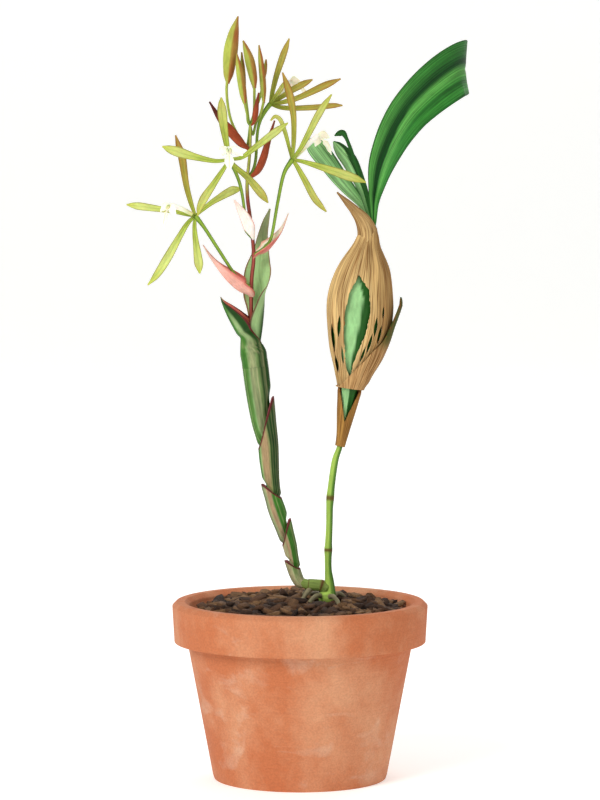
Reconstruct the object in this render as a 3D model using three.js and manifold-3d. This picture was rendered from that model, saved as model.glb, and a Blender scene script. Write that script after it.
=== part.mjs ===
import * as THREE from "three";
import { mergeVertices } from "three/addons/utils/BufferGeometryUtils.js";
import Module from "manifold-3d";

const wasm = await Module();
wasm.setup();

// Driving dimensions, in millimetres
const PLANT_SCALE = 0.27; // size of one picture pixel on the life-size plant
const POT_HEIGHT = 64;
const POT_RIM_RADIUS = 46;
const POT_FOOT_RADIUS = 31;
const POT_WALL = 4;
const POT_FLOOR = 5;
const RIM_BAND_HEIGHT = 15;
const RIM_BAND_STEP = 2;
const WALL_LEAN = 3.5; // how much narrower the wall is under the rim band
const POT_ROUND = 1.5; // rounding of the pot's edges
const POT_SIDES = 40;
const DRAIN_RADIUS = 3.5;
const DRAIN_CIRCLE = 15;
const SOIL_EDGE_DROP = 4;
const SOIL_MOUND = 4.6;
const SOIL_LUMP = 0.9;
const BLADE = 0.7; // thickness of leaves, bracts and petals
const WALL = 0.7; // thickness of the sheaths that wrap a stem
const GAP = 0.3; // clearance between neighbouring pieces

// Picture columns and rows that tie the drawn plant to the pot
const POT_AXIS_COLUMN = 300.25;
const PLANT_FOOT_ROW = 795;
const PLANT_FOOT_HEIGHT = POT_HEIGHT - 0.5;

const AWAY = new THREE.Vector3(0, 1, 0);

const COLOURS = {
  clay: [0xb9683f, 0.9],
  bark: [0x5a3d28, 0.95],
  rhizome: [0x7f9a3c, 0.6],
  cane: [0x9fae4b, 0.5],
  papery: [0xc2a071, 0.85],
  lower: [0xb4733a, 0.8],
  darkLeaf: [0x1f6b3f, 0.45],
  paleLeaf: [0x7fae84, 0.5],
  youngSheath: [0x4c7f4f, 0.5],
  youngLeaf: [0x86a87a, 0.5],
  peduncle: [0x8c2f3a, 0.5],
  redBract: [0xb04a48, 0.6],
  pinkBract: [0xe7b9b4, 0.6],
  bud: [0x9a9a55, 0.5],
  tepal: [0xb3bd5e, 0.5],
  lip: [0xf4f1e4, 0.5],
};

const SAME_PLACE = 1e-4; // points nearer than this are one point

// A place on the plant, from a picture column, a picture row and a depth in millimetres
function spot([column, row, depth = 0]) {
  const x = (column - POT_AXIS_COLUMN) * PLANT_SCALE;
  const z = PLANT_FOOT_HEIGHT + (PLANT_FOOT_ROW - row) * PLANT_SCALE;
  return new THREE.Vector3(x, depth, z);
}

// A smooth value between listed values, for t from 0 at the first to 1 at the last
function smooth(values, t) {
  const knots = values.map((value, index) => new THREE.Vector2(index, value));
  return new THREE.SplineCurve(knots).getPoint(t).y;
}

function ease(t) {
  return THREE.MathUtils.smoothstep(t, 0, 1);
}

// A curve through points that may carry a width as their fourth number
function route(points) {
  return new THREE.CatmullRomCurve3(points.map(spot), false, "catmullrom", 0.5);
}

function widthsOf(points) {
  return points.map((point) => point[3] * PLANT_SCALE);
}

function halvesOf(points) {
  return widthsOf(points).map((width) => width / 2);
}

// One closed solid from points and triangles, with shared points merged
function solidFrom(points, triangles) {
  const geometry = new THREE.BufferGeometry();
  const places = points.flatMap((point) => point.toArray());
  geometry.setAttribute("position", new THREE.Float32BufferAttribute(places, 3));
  geometry.setIndex(triangles.flat());
  return solidFromGeometry(geometry);
}

function solidFromGeometry(source) {
  source.deleteAttribute("normal");
  source.deleteAttribute("uv");
  const merged = mergeVertices(source, SAME_PLACE);
  const index = merged.index.array;
  const corners = [];
  for (let i = 0; i < index.length; i += 3) {
    const [a, b, c] = [index[i], index[i + 1], index[i + 2]];
    if (a !== b && b !== c && c !== a) {
      corners.push(a, b, c);
    }
  }
  const mesh = new wasm.Mesh({
    numProp: 3,
    vertProperties: new Float32Array(merged.attributes.position.array),
    triVerts: new Uint32Array(corners),
  });
  return new wasm.Manifold(mesh);
}

function geometryFrom(solid) {
  const mesh = solid.getMesh();
  const geometry = new THREE.BufferGeometry();
  const places = new Float32Array(mesh.vertProperties);
  const corners = new Uint32Array(mesh.triVerts);
  geometry.setAttribute("position", new THREE.BufferAttribute(places, 3));
  geometry.setIndex(new THREE.BufferAttribute(corners, 1));
  geometry.computeVertexNormals();
  return geometry;
}

function joined(solids) {
  return solids.reduce((whole, solid) => whole.add(solid));
}

// A closed body through rings of points, capped at both ends or looped into a ring
function bodyFromRings(rings, looped = false) {
  const sides = rings[0].length;
  const points = rings.flat();
  const triangles = [];
  const spans = looped ? rings.length : rings.length - 1;
  for (let i = 0; i < spans; i += 1) {
    const low = i * sides;
    const high = ((i + 1) % rings.length) * sides;
    for (let j = 0; j < sides; j += 1) {
      const k = (j + 1) % sides;
      triangles.push([low + j, low + k, high + k], [low + j, high + k, high + j]);
    }
  }
  if (!looped) {
    for (const [ring, start] of [[rings[0], true], [rings[rings.length - 1], false]]) {
      const middle = ring.reduce((sum, p) => sum.add(p), new THREE.Vector3()).divideScalar(sides);
      const first = start ? 0 : (rings.length - 1) * sides;
      points.push(middle);
      for (let j = 0; j < sides; j += 1) {
        const k = (j + 1) % sides;
        const pair = start ? [first + k, first + j] : [first + j, first + k];
        triangles.push([points.length - 1, ...pair]);
      }
    }
  }
  return solidFrom(points, triangles);
}

// Two directions across a curve: to the right of the viewer and away from the viewer
function across(curve, t, reference = AWAY) {
  const tangent = curve.getTangent(t);
  const far = reference.clone().addScaledVector(tangent, -reference.dot(tangent)).normalize();
  const right = new THREE.Vector3().crossVectors(far, tangent);
  return { tangent, far, right };
}

function ringPoint(curve, t, angle, radius, flat = 1, reference = AWAY) {
  const { far, right } = across(curve, t, reference);
  return curve
    .getPoint(t)
    .addScaledVector(right, radius * Math.cos(angle))
    .addScaledVector(far, radius * flat * Math.sin(angle));
}

// A round stalk along a curve, with a radius that changes smoothly and ends that may reach further
function stalk(curve, radii, rows, { sides = 6, reference = AWAY, flat = 1, reach = 0 } = {}) {
  const rings = [];
  for (let i = 0; i <= rows; i += 1) {
    const t = i / rows;
    const radius = smooth(radii, t);
    rings.push(turns(sides).map((angle) => ringPoint(curve, t, angle, radius, flat, reference)));
  }
  rings[0].forEach((point) => point.addScaledVector(curve.getTangent(0), -reach));
  rings[rows].forEach((point) => point.addScaledVector(curve.getTangent(1), reach));
  return bodyFromRings(rings);
}

function turns(sides) {
  return Array.from({ length: sides }, (_, index) => (index * 2 * Math.PI) / sides);
}

// A thin blade: the middle surface is offset to both faces, split alike on each
function sheet(surface, rows, columns, thickness = BLADE) {
  const step = 1e-3;
  const front = [];
  const back = [];
  for (let i = 0; i <= rows; i += 1) {
    for (let j = 0; j <= columns; j += 1) {
      const t = i / rows;
      const v = (2 * j) / columns - 1;
      const point = surface(t, v);
      const [t0, t1] = [Math.max(0, t - step), Math.min(1, t + step)];
      const [v0, v1] = [Math.max(-1, v - step), Math.min(1, v + step)];
      const alongBlade = surface(t1, v).sub(surface(t0, v));
      const acrossBlade = surface(t, v1).sub(surface(t, v0));
      const normal = new THREE.Vector3().crossVectors(acrossBlade, alongBlade).normalize();
      front.push(point.clone().addScaledVector(normal, thickness / 2));
      back.push(point.clone().addScaledVector(normal, -thickness / 2));
    }
  }
  const triangles = [];
  const at = (i, j) => i * (columns + 1) + j;
  const count = front.length;
  for (let i = 0; i < rows; i += 1) {
    for (let j = 0; j < columns; j += 1) {
      const [a, b, c, d] = [at(i, j), at(i, j + 1), at(i + 1, j + 1), at(i + 1, j)];
      const split = j < columns / 2 ? [[a, b, c], [a, c, d]] : [[a, b, d], [b, c, d]];
      for (const [p, q, r] of split) {
        triangles.push([p, q, r], [count + p, count + r, count + q]);
      }
    }
  }
  const rim = [];
  for (let j = 0; j < columns; j += 1) {
    rim.push(at(0, j));
  }
  for (let i = 0; i < rows; i += 1) {
    rim.push(at(i, columns));
  }
  for (let j = columns; j > 0; j -= 1) {
    rim.push(at(rows, j));
  }
  for (let i = rows; i > 0; i -= 1) {
    rim.push(at(i, 0));
  }
  rim.forEach((p, index) => {
    const q = rim[(index + 1) % rim.length];
    triangles.push([p, count + p, count + q], [p, count + q, q]);
  });
  return solidFrom([...front, ...back], triangles);
}

const CUP = 0.6; // share of a blade's fold that comes as a curve, and not as a crease

// A leaf-like surface on a midrib: fold tilts both halves towards the side that it faces
function bladeSurface(curve, widths, facings, fold) {
  return (t, v) => {
    const tangent = curve.getTangent(t);
    const facing = new THREE.Vector3(
      smooth(facings.map((f) => f[0]), t),
      smooth(facings.map((f) => f[1]), t),
      smooth(facings.map((f) => f[2]), t),
    );
    const normal = facing.addScaledVector(tangent, -facing.dot(tangent)).normalize();
    const side = new THREE.Vector3().crossVectors(normal, tangent);
    const half = smooth(widths, t) / 2;
    const angle = smooth(fold, t);
    const reach = Math.abs(v) * half;
    return curve
      .getPoint(t)
      .addScaledVector(side, v * Math.cos(angle) * half)
      .addScaledVector(normal, reach * Math.sin(angle) * (1 - CUP + CUP * Math.abs(v)));
  };
}

const TO_VIEWER = [[0, -1, 0], [0, -1, 0]];

// A blade along a list of places with widths, facing one way or turning between facings
function blade(points, { facings = TO_VIEWER, fold = [0.25, 0.25], rows, columns = 2 } = {}) {
  const surface = bladeSurface(route(points), widthsOf(points), facings, fold);
  return sheet(surface, rows ?? 2 * (points.length - 1), columns);
}

// Clay flowerpot with a rim band and three drain holes round a solid middle
function makePot() {
  const innerRim = POT_RIM_RADIUS - RIM_BAND_STEP - POT_WALL;
  const profile = [
    [0, 0],
    [POT_FOOT_RADIUS, 0],
    [POT_FOOT_RADIUS + POT_ROUND / 3, POT_ROUND],
    [POT_RIM_RADIUS - RIM_BAND_STEP - WALL_LEAN, POT_HEIGHT - RIM_BAND_HEIGHT],
    [POT_RIM_RADIUS - POT_ROUND / 2, POT_HEIGHT - RIM_BAND_HEIGHT + POT_ROUND / 3],
    [POT_RIM_RADIUS, POT_HEIGHT - POT_ROUND],
    [POT_RIM_RADIUS - POT_ROUND, POT_HEIGHT],
    [innerRim + POT_ROUND, POT_HEIGHT],
    [innerRim, POT_HEIGHT - POT_ROUND],
    [POT_FOOT_RADIUS - POT_WALL, POT_FLOOR],
    [0, POT_FLOOR],
  ].map(([r, z]) => new THREE.Vector2(r, z));
  const lathe = new THREE.LatheGeometry(profile, POT_SIDES);
  lathe.rotateX(Math.PI / 2);
  const holes = turns(3).map((angle) => {
    const drill = new THREE.CylinderGeometry(DRAIN_RADIUS, DRAIN_RADIUS, 3 * POT_FLOOR, 12);
    drill.rotateX(Math.PI / 2);
    drill.translate(DRAIN_CIRCLE * Math.cos(angle), DRAIN_CIRCLE * Math.sin(angle), 0);
    return solidFromGeometry(drill);
  });
  return holes.reduce((pot, hole) => pot.subtract(hole), solidFromGeometry(lathe));
}

// Height of the bark surface, mounded under the plant and lumpy
function soilHeight(x, y, radius) {
  const spread = Math.min(1, Math.hypot(x, y) / radius);
  const lumps = Math.sin(0.62 * x + 1.3) * Math.cos(0.55 * y) + 0.6 * Math.sin(0.9 * y - 0.4 * x);
  const mound = SOIL_MOUND * (1 - spread ** 2) + SOIL_LUMP * lumps * (1 - spread ** 8);
  return POT_HEIGHT - SOIL_EDGE_DROP + mound;
}

const SOIL_SIDES = 32;
const SOIL_RINGS = [1, 0.88, 0.72, 0.56, 0.4, 0.24, 0.1]; // shares of the soil's radius

function makeMedium(plugs) {
  const innerRim = POT_RIM_RADIUS - RIM_BAND_STEP - POT_WALL;
  const slope = (innerRim - POT_FOOT_RADIUS + POT_WALL) / (POT_HEIGHT - POT_ROUND - POT_FLOOR);
  const bottomRadius = POT_FOOT_RADIUS - POT_WALL - GAP;
  const topRadius = bottomRadius + slope * (POT_HEIGHT - SOIL_EDGE_DROP - POT_FLOOR) - GAP;
  const angles = turns(SOIL_SIDES);
  const circle = (radius, height) =>
    angles.map((a) => {
      const [x, y] = [radius * Math.cos(a), radius * Math.sin(a)];
      return new THREE.Vector3(x, y, height ?? soilHeight(x, y, topRadius));
    });
  const rings = [circle(bottomRadius, POT_FLOOR + GAP)];
  for (const share of SOIL_RINGS) {
    rings.push(circle(topRadius * share));
  }
  return plugs.reduce((medium, plug) => medium.subtract(plug), bodyFromRings(rings));
}

// Rhizome with the knob at the foot of the old cane and roots that arch into the bark
const RHIZOME = [[308, 770.5, 0], [315, 771.5, 0], [320.5, 774.5, 0], [325, 782, 0], [330, 788, 0]];
const KNOB = [[325, 789, 0], [331, 788.5, 0], [339, 788, 0], [345.5, 787, 0]];
const ROOTS = [
  [[330, 787, 0], [322, 784, -5], [312, 793, -9], [308, 812, -11]],
  [[338, 788, 0], [345, 785, -6], [352, 794, -10], [354, 814, -11]],
  [[340, 788, 0], [352, 785, 4], [362, 796, 7], [366, 816, 8]],
  [[328, 787, 0], [320, 785, 5], [312, 794, 10], [306, 814, 12]],
  [[315, 772, 0], [307, 784, 4], [301, 797, 7], [297, 816, 8]],
  [[316, 773, 0], [306, 786, -3], [299, 798, -7], [294, 816, -8]],
];

const RHIZOME_RADII = [1.7, 1.6, 1.7, 2, 2.2];
const KNOB_RADII = [1.2, 2.2, 2.3, 1.1];
const ROOT_RADII = [1, 0.8, 0.7, 0.5];

// The same shape, grown a little on all sides, is the hole that it leaves in the bark
function makeRhizome(grown = 0) {
  const larger = (radii) => radii.map((radius) => radius + grown);
  const runner = stalk(route(RHIZOME), larger(RHIZOME_RADII), 6, { sides: 8, reach: grown });
  const knob = stalk(route(KNOB), larger(KNOB_RADII), 5, { sides: 8, reach: grown });
  const roots = ROOTS.map((points) =>
    stalk(route(points), larger(ROOT_RADII), 6, { sides: 5, reach: 2 * grown }),
  );
  return joined([runner, knob, ...roots]);
}

// Old shoot: thin jointed cane that swells to a club
const CANE = [
  [340.5, 778, 0], [339.5, 768, 0], [338, 750, 0], [338, 725, 0], [339.3, 694, 0], [340.5, 655, 0],
  [346.5, 608, 0], [353, 587, 0], [358, 560, 0], [362, 535, 0], [366, 509, 0], [369, 488, 0],
  [373.5, 459, 0], [378, 422, 0], [380.5, 387, 0], [385, 350, 0], [389, 322, 0], [396.5, 293, 0],
];
const CANE_RADII = [2.1, 1.7, 1.25, 1.3, 1.2, 1.25, 1.2, 1, 1.15];
const CANE_TIP_RADIUS = 1;
const CLUB_INSIDE = [25, 32, 46, 69, 85, 85, 67, 34]; // widths in the picture, sheaths included
const CLUB_FLAT = 0.78;

// Outline of the club at rows of the picture: middle column and half width
const CLUB = [
  [352.5, 590, 0, 14], [356.5, 571, 0, 17], [361.5, 540, 0, 26], [366.5, 509, 0, 35], [369, 488, 0, 48],
  [373.5, 459, 0, 71], [378.5, 422, 0, 87], [380, 387, 0, 87.5], [385, 350, 0, 70], [388.7, 320, 0, 38],
  [391.5, 304, 0, 27], [396, 290, 0, 14],
];

function makeCane() {
  const club = CLUB_INSIDE.map((pixels) => (pixels / 2) * PLANT_SCALE - WALL - 2 * GAP);
  const radii = [...CANE_RADII, ...club, CANE_TIP_RADIUS];
  return stalk(route(CANE), radii, 34, { sides: 10, flat: CLUB_FLAT });
}

// A sheath that wraps a curve between a foot and a slanting mouth
function sheath(curve, { foot, mouth, floor, radiusAt, flat = 0.85, sides = 12, rows = 5, wall = WALL }) {
  const angles = turns(sides);
  const ring = (share, inner) =>
    angles.map((angle) => {
      const start = inner && floor !== undefined ? floor : foot;
      const t = start + (mouth(angle) - start) * share;
      const radius = radiusAt(t, angle) - (inner ? wall : 0);
      return ringPoint(curve, t, angle, radius, flat);
    });
  const rings = [];
  for (let i = 0; i <= rows; i += 1) {
    rings.push(ring(i / rows, false));
  }
  for (let i = rows; i >= 0; i -= 1) {
    rings.push(ring(i / rows, true));
  }
  return bodyFromRings(rings, floor === undefined);
}

const RIGHT = 0;
const LEFT = Math.PI;
const FRONT = 1.5 * Math.PI;

// How near an angle is to a given side, from 0 opposite to 1 on that side
function nearness(angle, side) {
  return (1 + Math.cos(angle - side)) / 2;
}

const clubRoute = route(CLUB);
const clubRadius = (t) => smooth(widthsOf(CLUB), t) / 2;
const clubSpot = (row) => {
  const rows = CLUB.map((point) => point[1]);
  const index = rows.findIndex((value) => value <= row);
  const share = (rows[index - 1] - row) / (rows[index - 1] - rows[index]);
  return (index - 1 + share) / (rows.length - 1);
};

// Lowest sheath, between two picture rows, with a notch of a given depth and width in its front
const LOWER_SHEATH = { foot: 586, mouth: 512, notch: 42, spread: 0.62, wall: 0.6, inset: 0.15 };

function makeLowerSheath() {
  const { foot, mouth, notch, spread, wall, inset } = LOWER_SHEATH;
  return sheath(clubRoute, {
    foot: clubSpot(foot),
    mouth: (angle) => {
      const front = Math.max(0, 1 - Math.abs(Math.sin((angle - FRONT) / 2)) / spread);
      return clubSpot(mouth + notch * front);
    },
    radiusAt: (t) => clubRadius(t) - inset,
    flat: 0.9,
    sides: 16,
    rows: 4,
    wall,
  });
}

// Torn window in the front of the papery sheath, as picture columns and rows
const WINDOW = [
  [378, 363], [392.4, 382], [393, 407], [386.7, 436], [378, 456], [370, 476], [366.6, 495],
  [361, 478], [358, 436], [359.4, 407], [365, 382],
];

// Long bent point that the papery sheath carries in front of the leaf bases
const SHEATH_TAIL = [
  [389, 311, -3.1, 18], [388.5, 299, -3.1, 24], [383, 286, -3.5, 20], [373.5, 274, -3.8, 14],
  [362, 262, -3.8, 8.5], [349, 249, -3.4, 2.4],
];

const UPPER_SHEATH = { foot: 507, mouth: 302, lift: 2, wall: 0.8 };

function makeUpperSheath() {
  const { foot, mouth, lift, wall } = UPPER_SHEATH;
  const body = sheath(clubRoute, {
    foot: clubSpot(foot),
    mouth: (angle) => clubSpot(mouth - lift * nearness(angle, LEFT)),
    radiusAt: clubRadius,
    flat: CLUB_FLAT,
    sides: 18,
    rows: 11,
    wall,
  });
  const corners = WINDOW.map(spot).map((place) => new THREE.Vector2(place.x, place.z));
  const outline = new THREE.Shape(corners);
  const cutter = new THREE.ExtrudeGeometry(outline, { depth: 30, bevelEnabled: false });
  cutter.rotateX(Math.PI / 2);
  const tail = blade(SHEATH_TAIL, { fold: [0.3, 0.2] });
  return body.subtract(solidFromGeometry(cutter)).add(tail);
}

// Outer sheath: rows of its foot and its lowest mouth, rises to the right and to its narrow tip
const WRAP_SHEATH = { foot: 509, mouth: 508, rise: 83, tip: 38, tipTurn: 0.16, flareRow: 430, flare: 1.6 };
const WRAP_ROOM = 0.55;

function makeWrapSheath() {
  const { foot, mouth, rise, tip, tipTurn, flareRow, flare } = WRAP_SHEATH;
  return sheath(clubRoute, {
    foot: clubSpot(foot),
    mouth: (angle) => {
      const turned = Math.acos(Math.cos(angle));
      const point = Math.exp(-((turned / tipTurn) ** 2));
      return clubSpot(mouth - rise * nearness(angle, RIGHT) ** 2 - tip * point);
    },
    radiusAt: (t, angle) => {
      const opened = flare * ease((t - clubSpot(flareRow)) / 0.1) * nearness(angle, RIGHT);
      return clubRadius(t) + WALL + WRAP_ROOM + opened;
    },
    flat: CLUB_FLAT + 0.02,
    sides: 18,
    rows: 6,
    wall: WALL + 0.05,
  });
}

// Leathery leaves of the old shoot: midrib places with depth and width
const LARGE_LEAF = [
  [398, 289, 1, 9], [398.5, 266, 1.2, 14], [400.5, 247, 1.4, 22], [407, 216, 2.4, 36],
  [418, 188, 3.8, 45], [430.5, 164, 5.6, 52], [446, 141.5, 7.6, 58], [467, 119.5, 10.8, 64],
  [490, 100, 15, 69], [510, 86.5, 20, 73], [520.5, 82.5, 25.5, 75], [523.5, 84, 31, 69],
  [522, 89, 36.5, 53], [518, 97, 41.5, 29], [513, 105, 45, 5],
];
const LARGE_FACINGS = [
  ...Array(5).fill([0, -1, 0]), [0.05, -1, 0], [0.12, -1, 0], [0.22, -1, 0], [0.42, -1, 0], [0.7, -0.8, 0],
  [0.9, -0.5, 0], [1, -0.15, 0.05], [1, 0.1, 0.15], [1, 0.2, 0.2], [1, 0.2, 0.2],
];
const LARGE_FOLD = [0.9, 0.4, 0.25, 0.1, 0.1];
const MIDDLE_LEAF = [
  [392.5, 285, 4.1, 6], [388, 274, 4.5, 9], [380, 262, 5, 13], [366, 246, 5.6, 19], [352, 229, 6.1, 23],
  [338, 210, 6.4, 26], [326, 194.5, 6.6, 27.5], [319, 185.5, 6.6, 24], [315.5, 181, 6.6, 11],
];
const SIDE_LEAF = [
  [394.5, 286, 2.7, 6], [390.5, 272, 2.9, 9], [385, 250, 3.3, 14], [376, 228, 3.9, 19], [366, 208, 4.3, 23],
  [357, 191, 4.5, 20], [351, 180, 4.5, 12], [349, 173, 4.5, 4],
];

// New shoot: middle column, row, depth and width, from the rhizome to the flower stem
const SHOOT = [
  [306, 770.5, 0, 13], [299, 766, 0, 15], [293, 752, 0, 16.5], [289.5, 735, -0.4, 16],
  [285.5, 716, -1, 18.5], [278.5, 695, -1.4, 20], [270.5, 672, -1.8, 22.5], [264.5, 652, -2, 21],
  [261.5, 632, -2, 21.5], [259, 606, -2, 25], [257, 580, -2, 27], [251, 551, -2, 31],
  [245, 511, -2, 34], [240, 470, -2, 34], [236.5, 446, -2, 27], [236, 420, -2, 20],
];
const shootRoute = route(SHOOT);
const shootRadius = (t) => smooth(widthsOf(SHOOT), t) / 2;
const station = (number) => number / (SHOOT.length - 1);

const COVER_TURN = Math.PI / 5;
const COVER_REACH = 0.6; // stations over which a sheath widens once it is free
const MOUTH_FLARE = 0.5;
const SHEATH_LAP = WALL + GAP + 0.05;

// Each sheath: foot, bottom of its cup, lowest and highest station of its mouth, keel side
const SHEATHS = [
  [0.15, 1.5, 2.0, 2.9, LEFT],
  [1.55, 3.3, 4.0, 5.4, RIGHT],
  [3.4, 6.0, 6.75, 7.9, LEFT],
  [6.1, 8.9, 9.7, 11.75, RIGHT],
  [9.0, 12.9, 13.72, 13.9, LEFT],
];

// Station at which a sheath opens on one side of the shoot
function mouthStation([, , low, high, keel], angle) {
  return low + (high - low) * nearness(angle, keel);
}

// Station up to which that sheath hides the next one, a facet wider than its mouth
function coverStation(outer, angle) {
  const keel = outer[4];
  const turned = Math.acos(Math.cos(angle - keel));
  return mouthStation(outer, keel + Math.max(0, turned - COVER_TURN));
}

function makeYoungSheath(index) {
  const [foot, floor, low, high, keel] = SHEATHS[index];
  const top = index === SHEATHS.length - 1;
  return sheath(shootRoute, {
    foot: station(foot),
    floor: station(floor),
    mouth: (angle) => station(mouthStation(SHEATHS[index], angle)),
    radiusAt: (t, angle) => {
      const number = t * (SHOOT.length - 1);
      const below = index > 0 ? coverStation(SHEATHS[index - 1], angle) : -1;
      const covered = 1 - ease((number - below + 0.1) / COVER_REACH);
      const flare = top ? 0 : MOUTH_FLARE * ease((number - low) / (high - low)) * nearness(angle, keel);
      return shootRadius(t) - SHEATH_LAP * covered + flare;
    },
    sides: 10,
    rows: Math.round(2.2 * (high - foot)),
  });
}

// Young leaves: the places follow the keel, and both halves fold towards the facing side
const OUTER_LEAF = [
  [222.5, 446.5, -1.9, 42], [217, 437, -1.7, 56], [207, 418, -2.2, 42], [200, 402, -3, 24],
  [195, 387, -3.4, 3],
];
const OUTER_FACINGS = [[1, 0, 0.1], [0.87, 0, 0.49], [0.8, 0, 0.6], [0.75, 0, 0.65], [0.7, 0, 0.7]];
const OUTER_FOLD = [0.9, 0.95, 1.12, 0.95, 0.3];
const INNER_LEAF = [
  [246.5, 451, -2.1, 23], [249, 436, -1.9, 34], [251, 420, -1.6, 43], [252.5, 398, -0.8, 50],
  [250.5, 378, 0.6, 52], [246, 354, 2, 40], [248.5, 328, 2.6, 23], [251, 306, 2.6, 14],
  [255, 288, 2.4, 9], [260.5, 271, 2, 2.6],
];
const INNER_FACINGS = [
  [-1, 0, 0], [-1, 0, 0], [-1, -0.1, 0], [-0.9, -0.45, 0], [-0.6, -0.8, 0],
  [-0.2, -1, 0], [0, -1, 0], [0, -1, 0], [0, -1, 0], [0, -1, 0],
];
const INNER_FOLD = [0.9, 1.05, 1.1, 0.9, 0.75, 0.5, 0.4, 0.35, 0.3, 0.3];

// Flower stem, from inside the top sheath to the tip of the raceme
const STEM = [
  [240.5, 471, -2, 6], [237, 440, -2.1, 6], [235.6, 403, -2.6, 5.4], [236.3, 364, -2.8, 5.2],
  [239, 337, -2.6, 5], [237.6, 310, -2.4, 5], [234.3, 282, -2, 5], [231, 257, -1.6, 5],
  [230.5, 234, -1.2, 4.6], [233, 208, -0.8, 4.2], [234.6, 180, -0.4, 4], [234.4, 158, 0, 3.6],
];

// Floral bracts: midrib places with depth and width, the side that each faces, and its fold
const BRACTS = {
  bract_a: {
    points: [
      [230, 383.5, -3.8, 20], [218, 378.5, -3.9, 34], [202, 363.5, -4.2, 29], [186, 341.5, -4.8, 11],
      [172, 318.4, -5, 2.4],
    ],
    facings: [[0.35, 0, 0.93], [0.5, -0.1, 0.85], [0.66, -0.1, 0.75], [0.8, -0.1, 0.6], [0.8, -0.1, 0.6]],
    fold: [0.9, 0.92, 0.95, 0.85, 0.5],
  },
  bract_b: {
    points: [
      [237.5, 308, -4.2, 7], [233, 297, -6, 17.5], [228, 284, -7, 16], [220, 270, -7.2, 9],
      [213.5, 258.8, -7, 2.4],
    ],
    facings: [[0.2, 1, 0.2], [0.2, 1, 0.2]],
    fold: [0.6, 0.3],
  },
  bract_c: {
    points: [
      [245, 331.5, -3, 14], [257, 326.5, -3.8, 28], [268, 313.5, -4.2, 20], [277, 298, -4.2, 8],
      [285.2, 276.9, -4, 2.4],
    ],
    facings: [[-0.45, -0.5, 0.75], [-0.45, -0.5, 0.75]],
    fold: [0.8, 0.92, 0.92, 0.7, 0.5],
  },
  bract_d: {
    points: [
      [236, 229.5, -2.5, 6], [246, 220, -4.2, 12], [253, 204, -5.2, 12], [258, 185, -5, 9],
      [267, 154.7, -4.4, 2.4],
    ],
    facings: [[0.3, -0.9, 0], [0.3, -0.9, 0]],
    fold: [-0.8, -0.4],
  },
  bract_e: {
    points: [
      [230.6, 190.5, -2.2, 7], [222, 183, -3.6, 13], [208, 167, -4.6, 14], [195, 152, -4.6, 9],
      [181, 130, -4, 2.4],
    ],
    facings: [[0, -1, 0.2], [0, -1, 0.2]],
    fold: [-0.7, -0.3],
  },
  bract_f: {
    points: [[239.6, 157, -1.6, 5], [241.5, 147, -2.2, 8.5], [243.5, 133, -2.6, 6], [246, 118, -2.6, 2.2]],
    facings: [[0.2, -1, 0], [0.2, -1, 0]],
    fold: [-0.5, -0.3],
  },
};

// Buds: stalk places, then bud places from base to tip, both with depth and width
const BUDS = {
  bud_1: {
    stalk: [
      [229.3, 189, 0.4], [217, 171, 1], [209.4, 155, 1.2], [205.3, 137.6, 1], [203.3, 117, 0.6],
      [204, 102, 0.2],
    ],
    bud: [
      [204.8, 106, 0.2, 5], [206, 92, 0, 14], [209, 63, 0, 19], [213.5, 37, 0.2, 13],
      [218.5, 17.5, 0.4, 2.4],
    ],
  },
  bud_2: {
    stalk: [[231.5, 156, -0.9], [230.5, 146, -2.2], [227.8, 133.5, -3], [227, 128, -3]],
    bud: [
      [227.2, 132.4, -3, 4.5], [225.5, 120, -3, 9.5], [222.5, 100, -3, 10.7], [219.5, 82, -3, 8],
      [217, 67, -3, 2.2],
    ],
  },
  bud_3: {
    stalk: [[232.5, 155, 1.1], [230.5, 141, 3.4], [227.5, 118, 5], [226.6, 112, 5]],
    bud: [[227, 116, 5, 3.5], [225.5, 102, 5, 6.5], [224.2, 84, 5, 6.5], [223, 64, 5, 2.2]],
  },
  bud_4: {
    stalk: [[238.3, 155, -0.3], [239.8, 137, 0.3], [240, 118, 0.4], [240, 108, 0.4]],
    bud: [
      [240.2, 112, 0.4, 5], [238.5, 98, 0.4, 11], [234, 76, 0.4, 13], [229, 60, 0.4, 8],
      [225.2, 49.3, 0.4, 2.4],
    ],
  },
  bud_5: {
    stalk: [[238, 173, 0.6], [242, 158, 1.8], [248, 146, 2.4], [252, 130, 2.6], [252.3, 126, 2.6]],
    bud: [
      [252.2, 131, 2.6, 4], [251.8, 114, 2.6, 8], [250.2, 92, 2.6, 8.5], [248, 72, 2.6, 6.5],
      [246, 54.9, 2.6, 2.2],
    ],
  },
  bud_6: {
    stalk: [[236.5, 154, 1.2], [240, 143, 4.2], [248, 120, 6.4], [252, 98, 6.6]],
    bud: [[251.6, 102, 6.6, 3.4], [253, 92, 6.6, 6], [254.5, 82, 6.6, 5], [255.3, 73.3, 6.6, 2.2]],
  },
};

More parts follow.
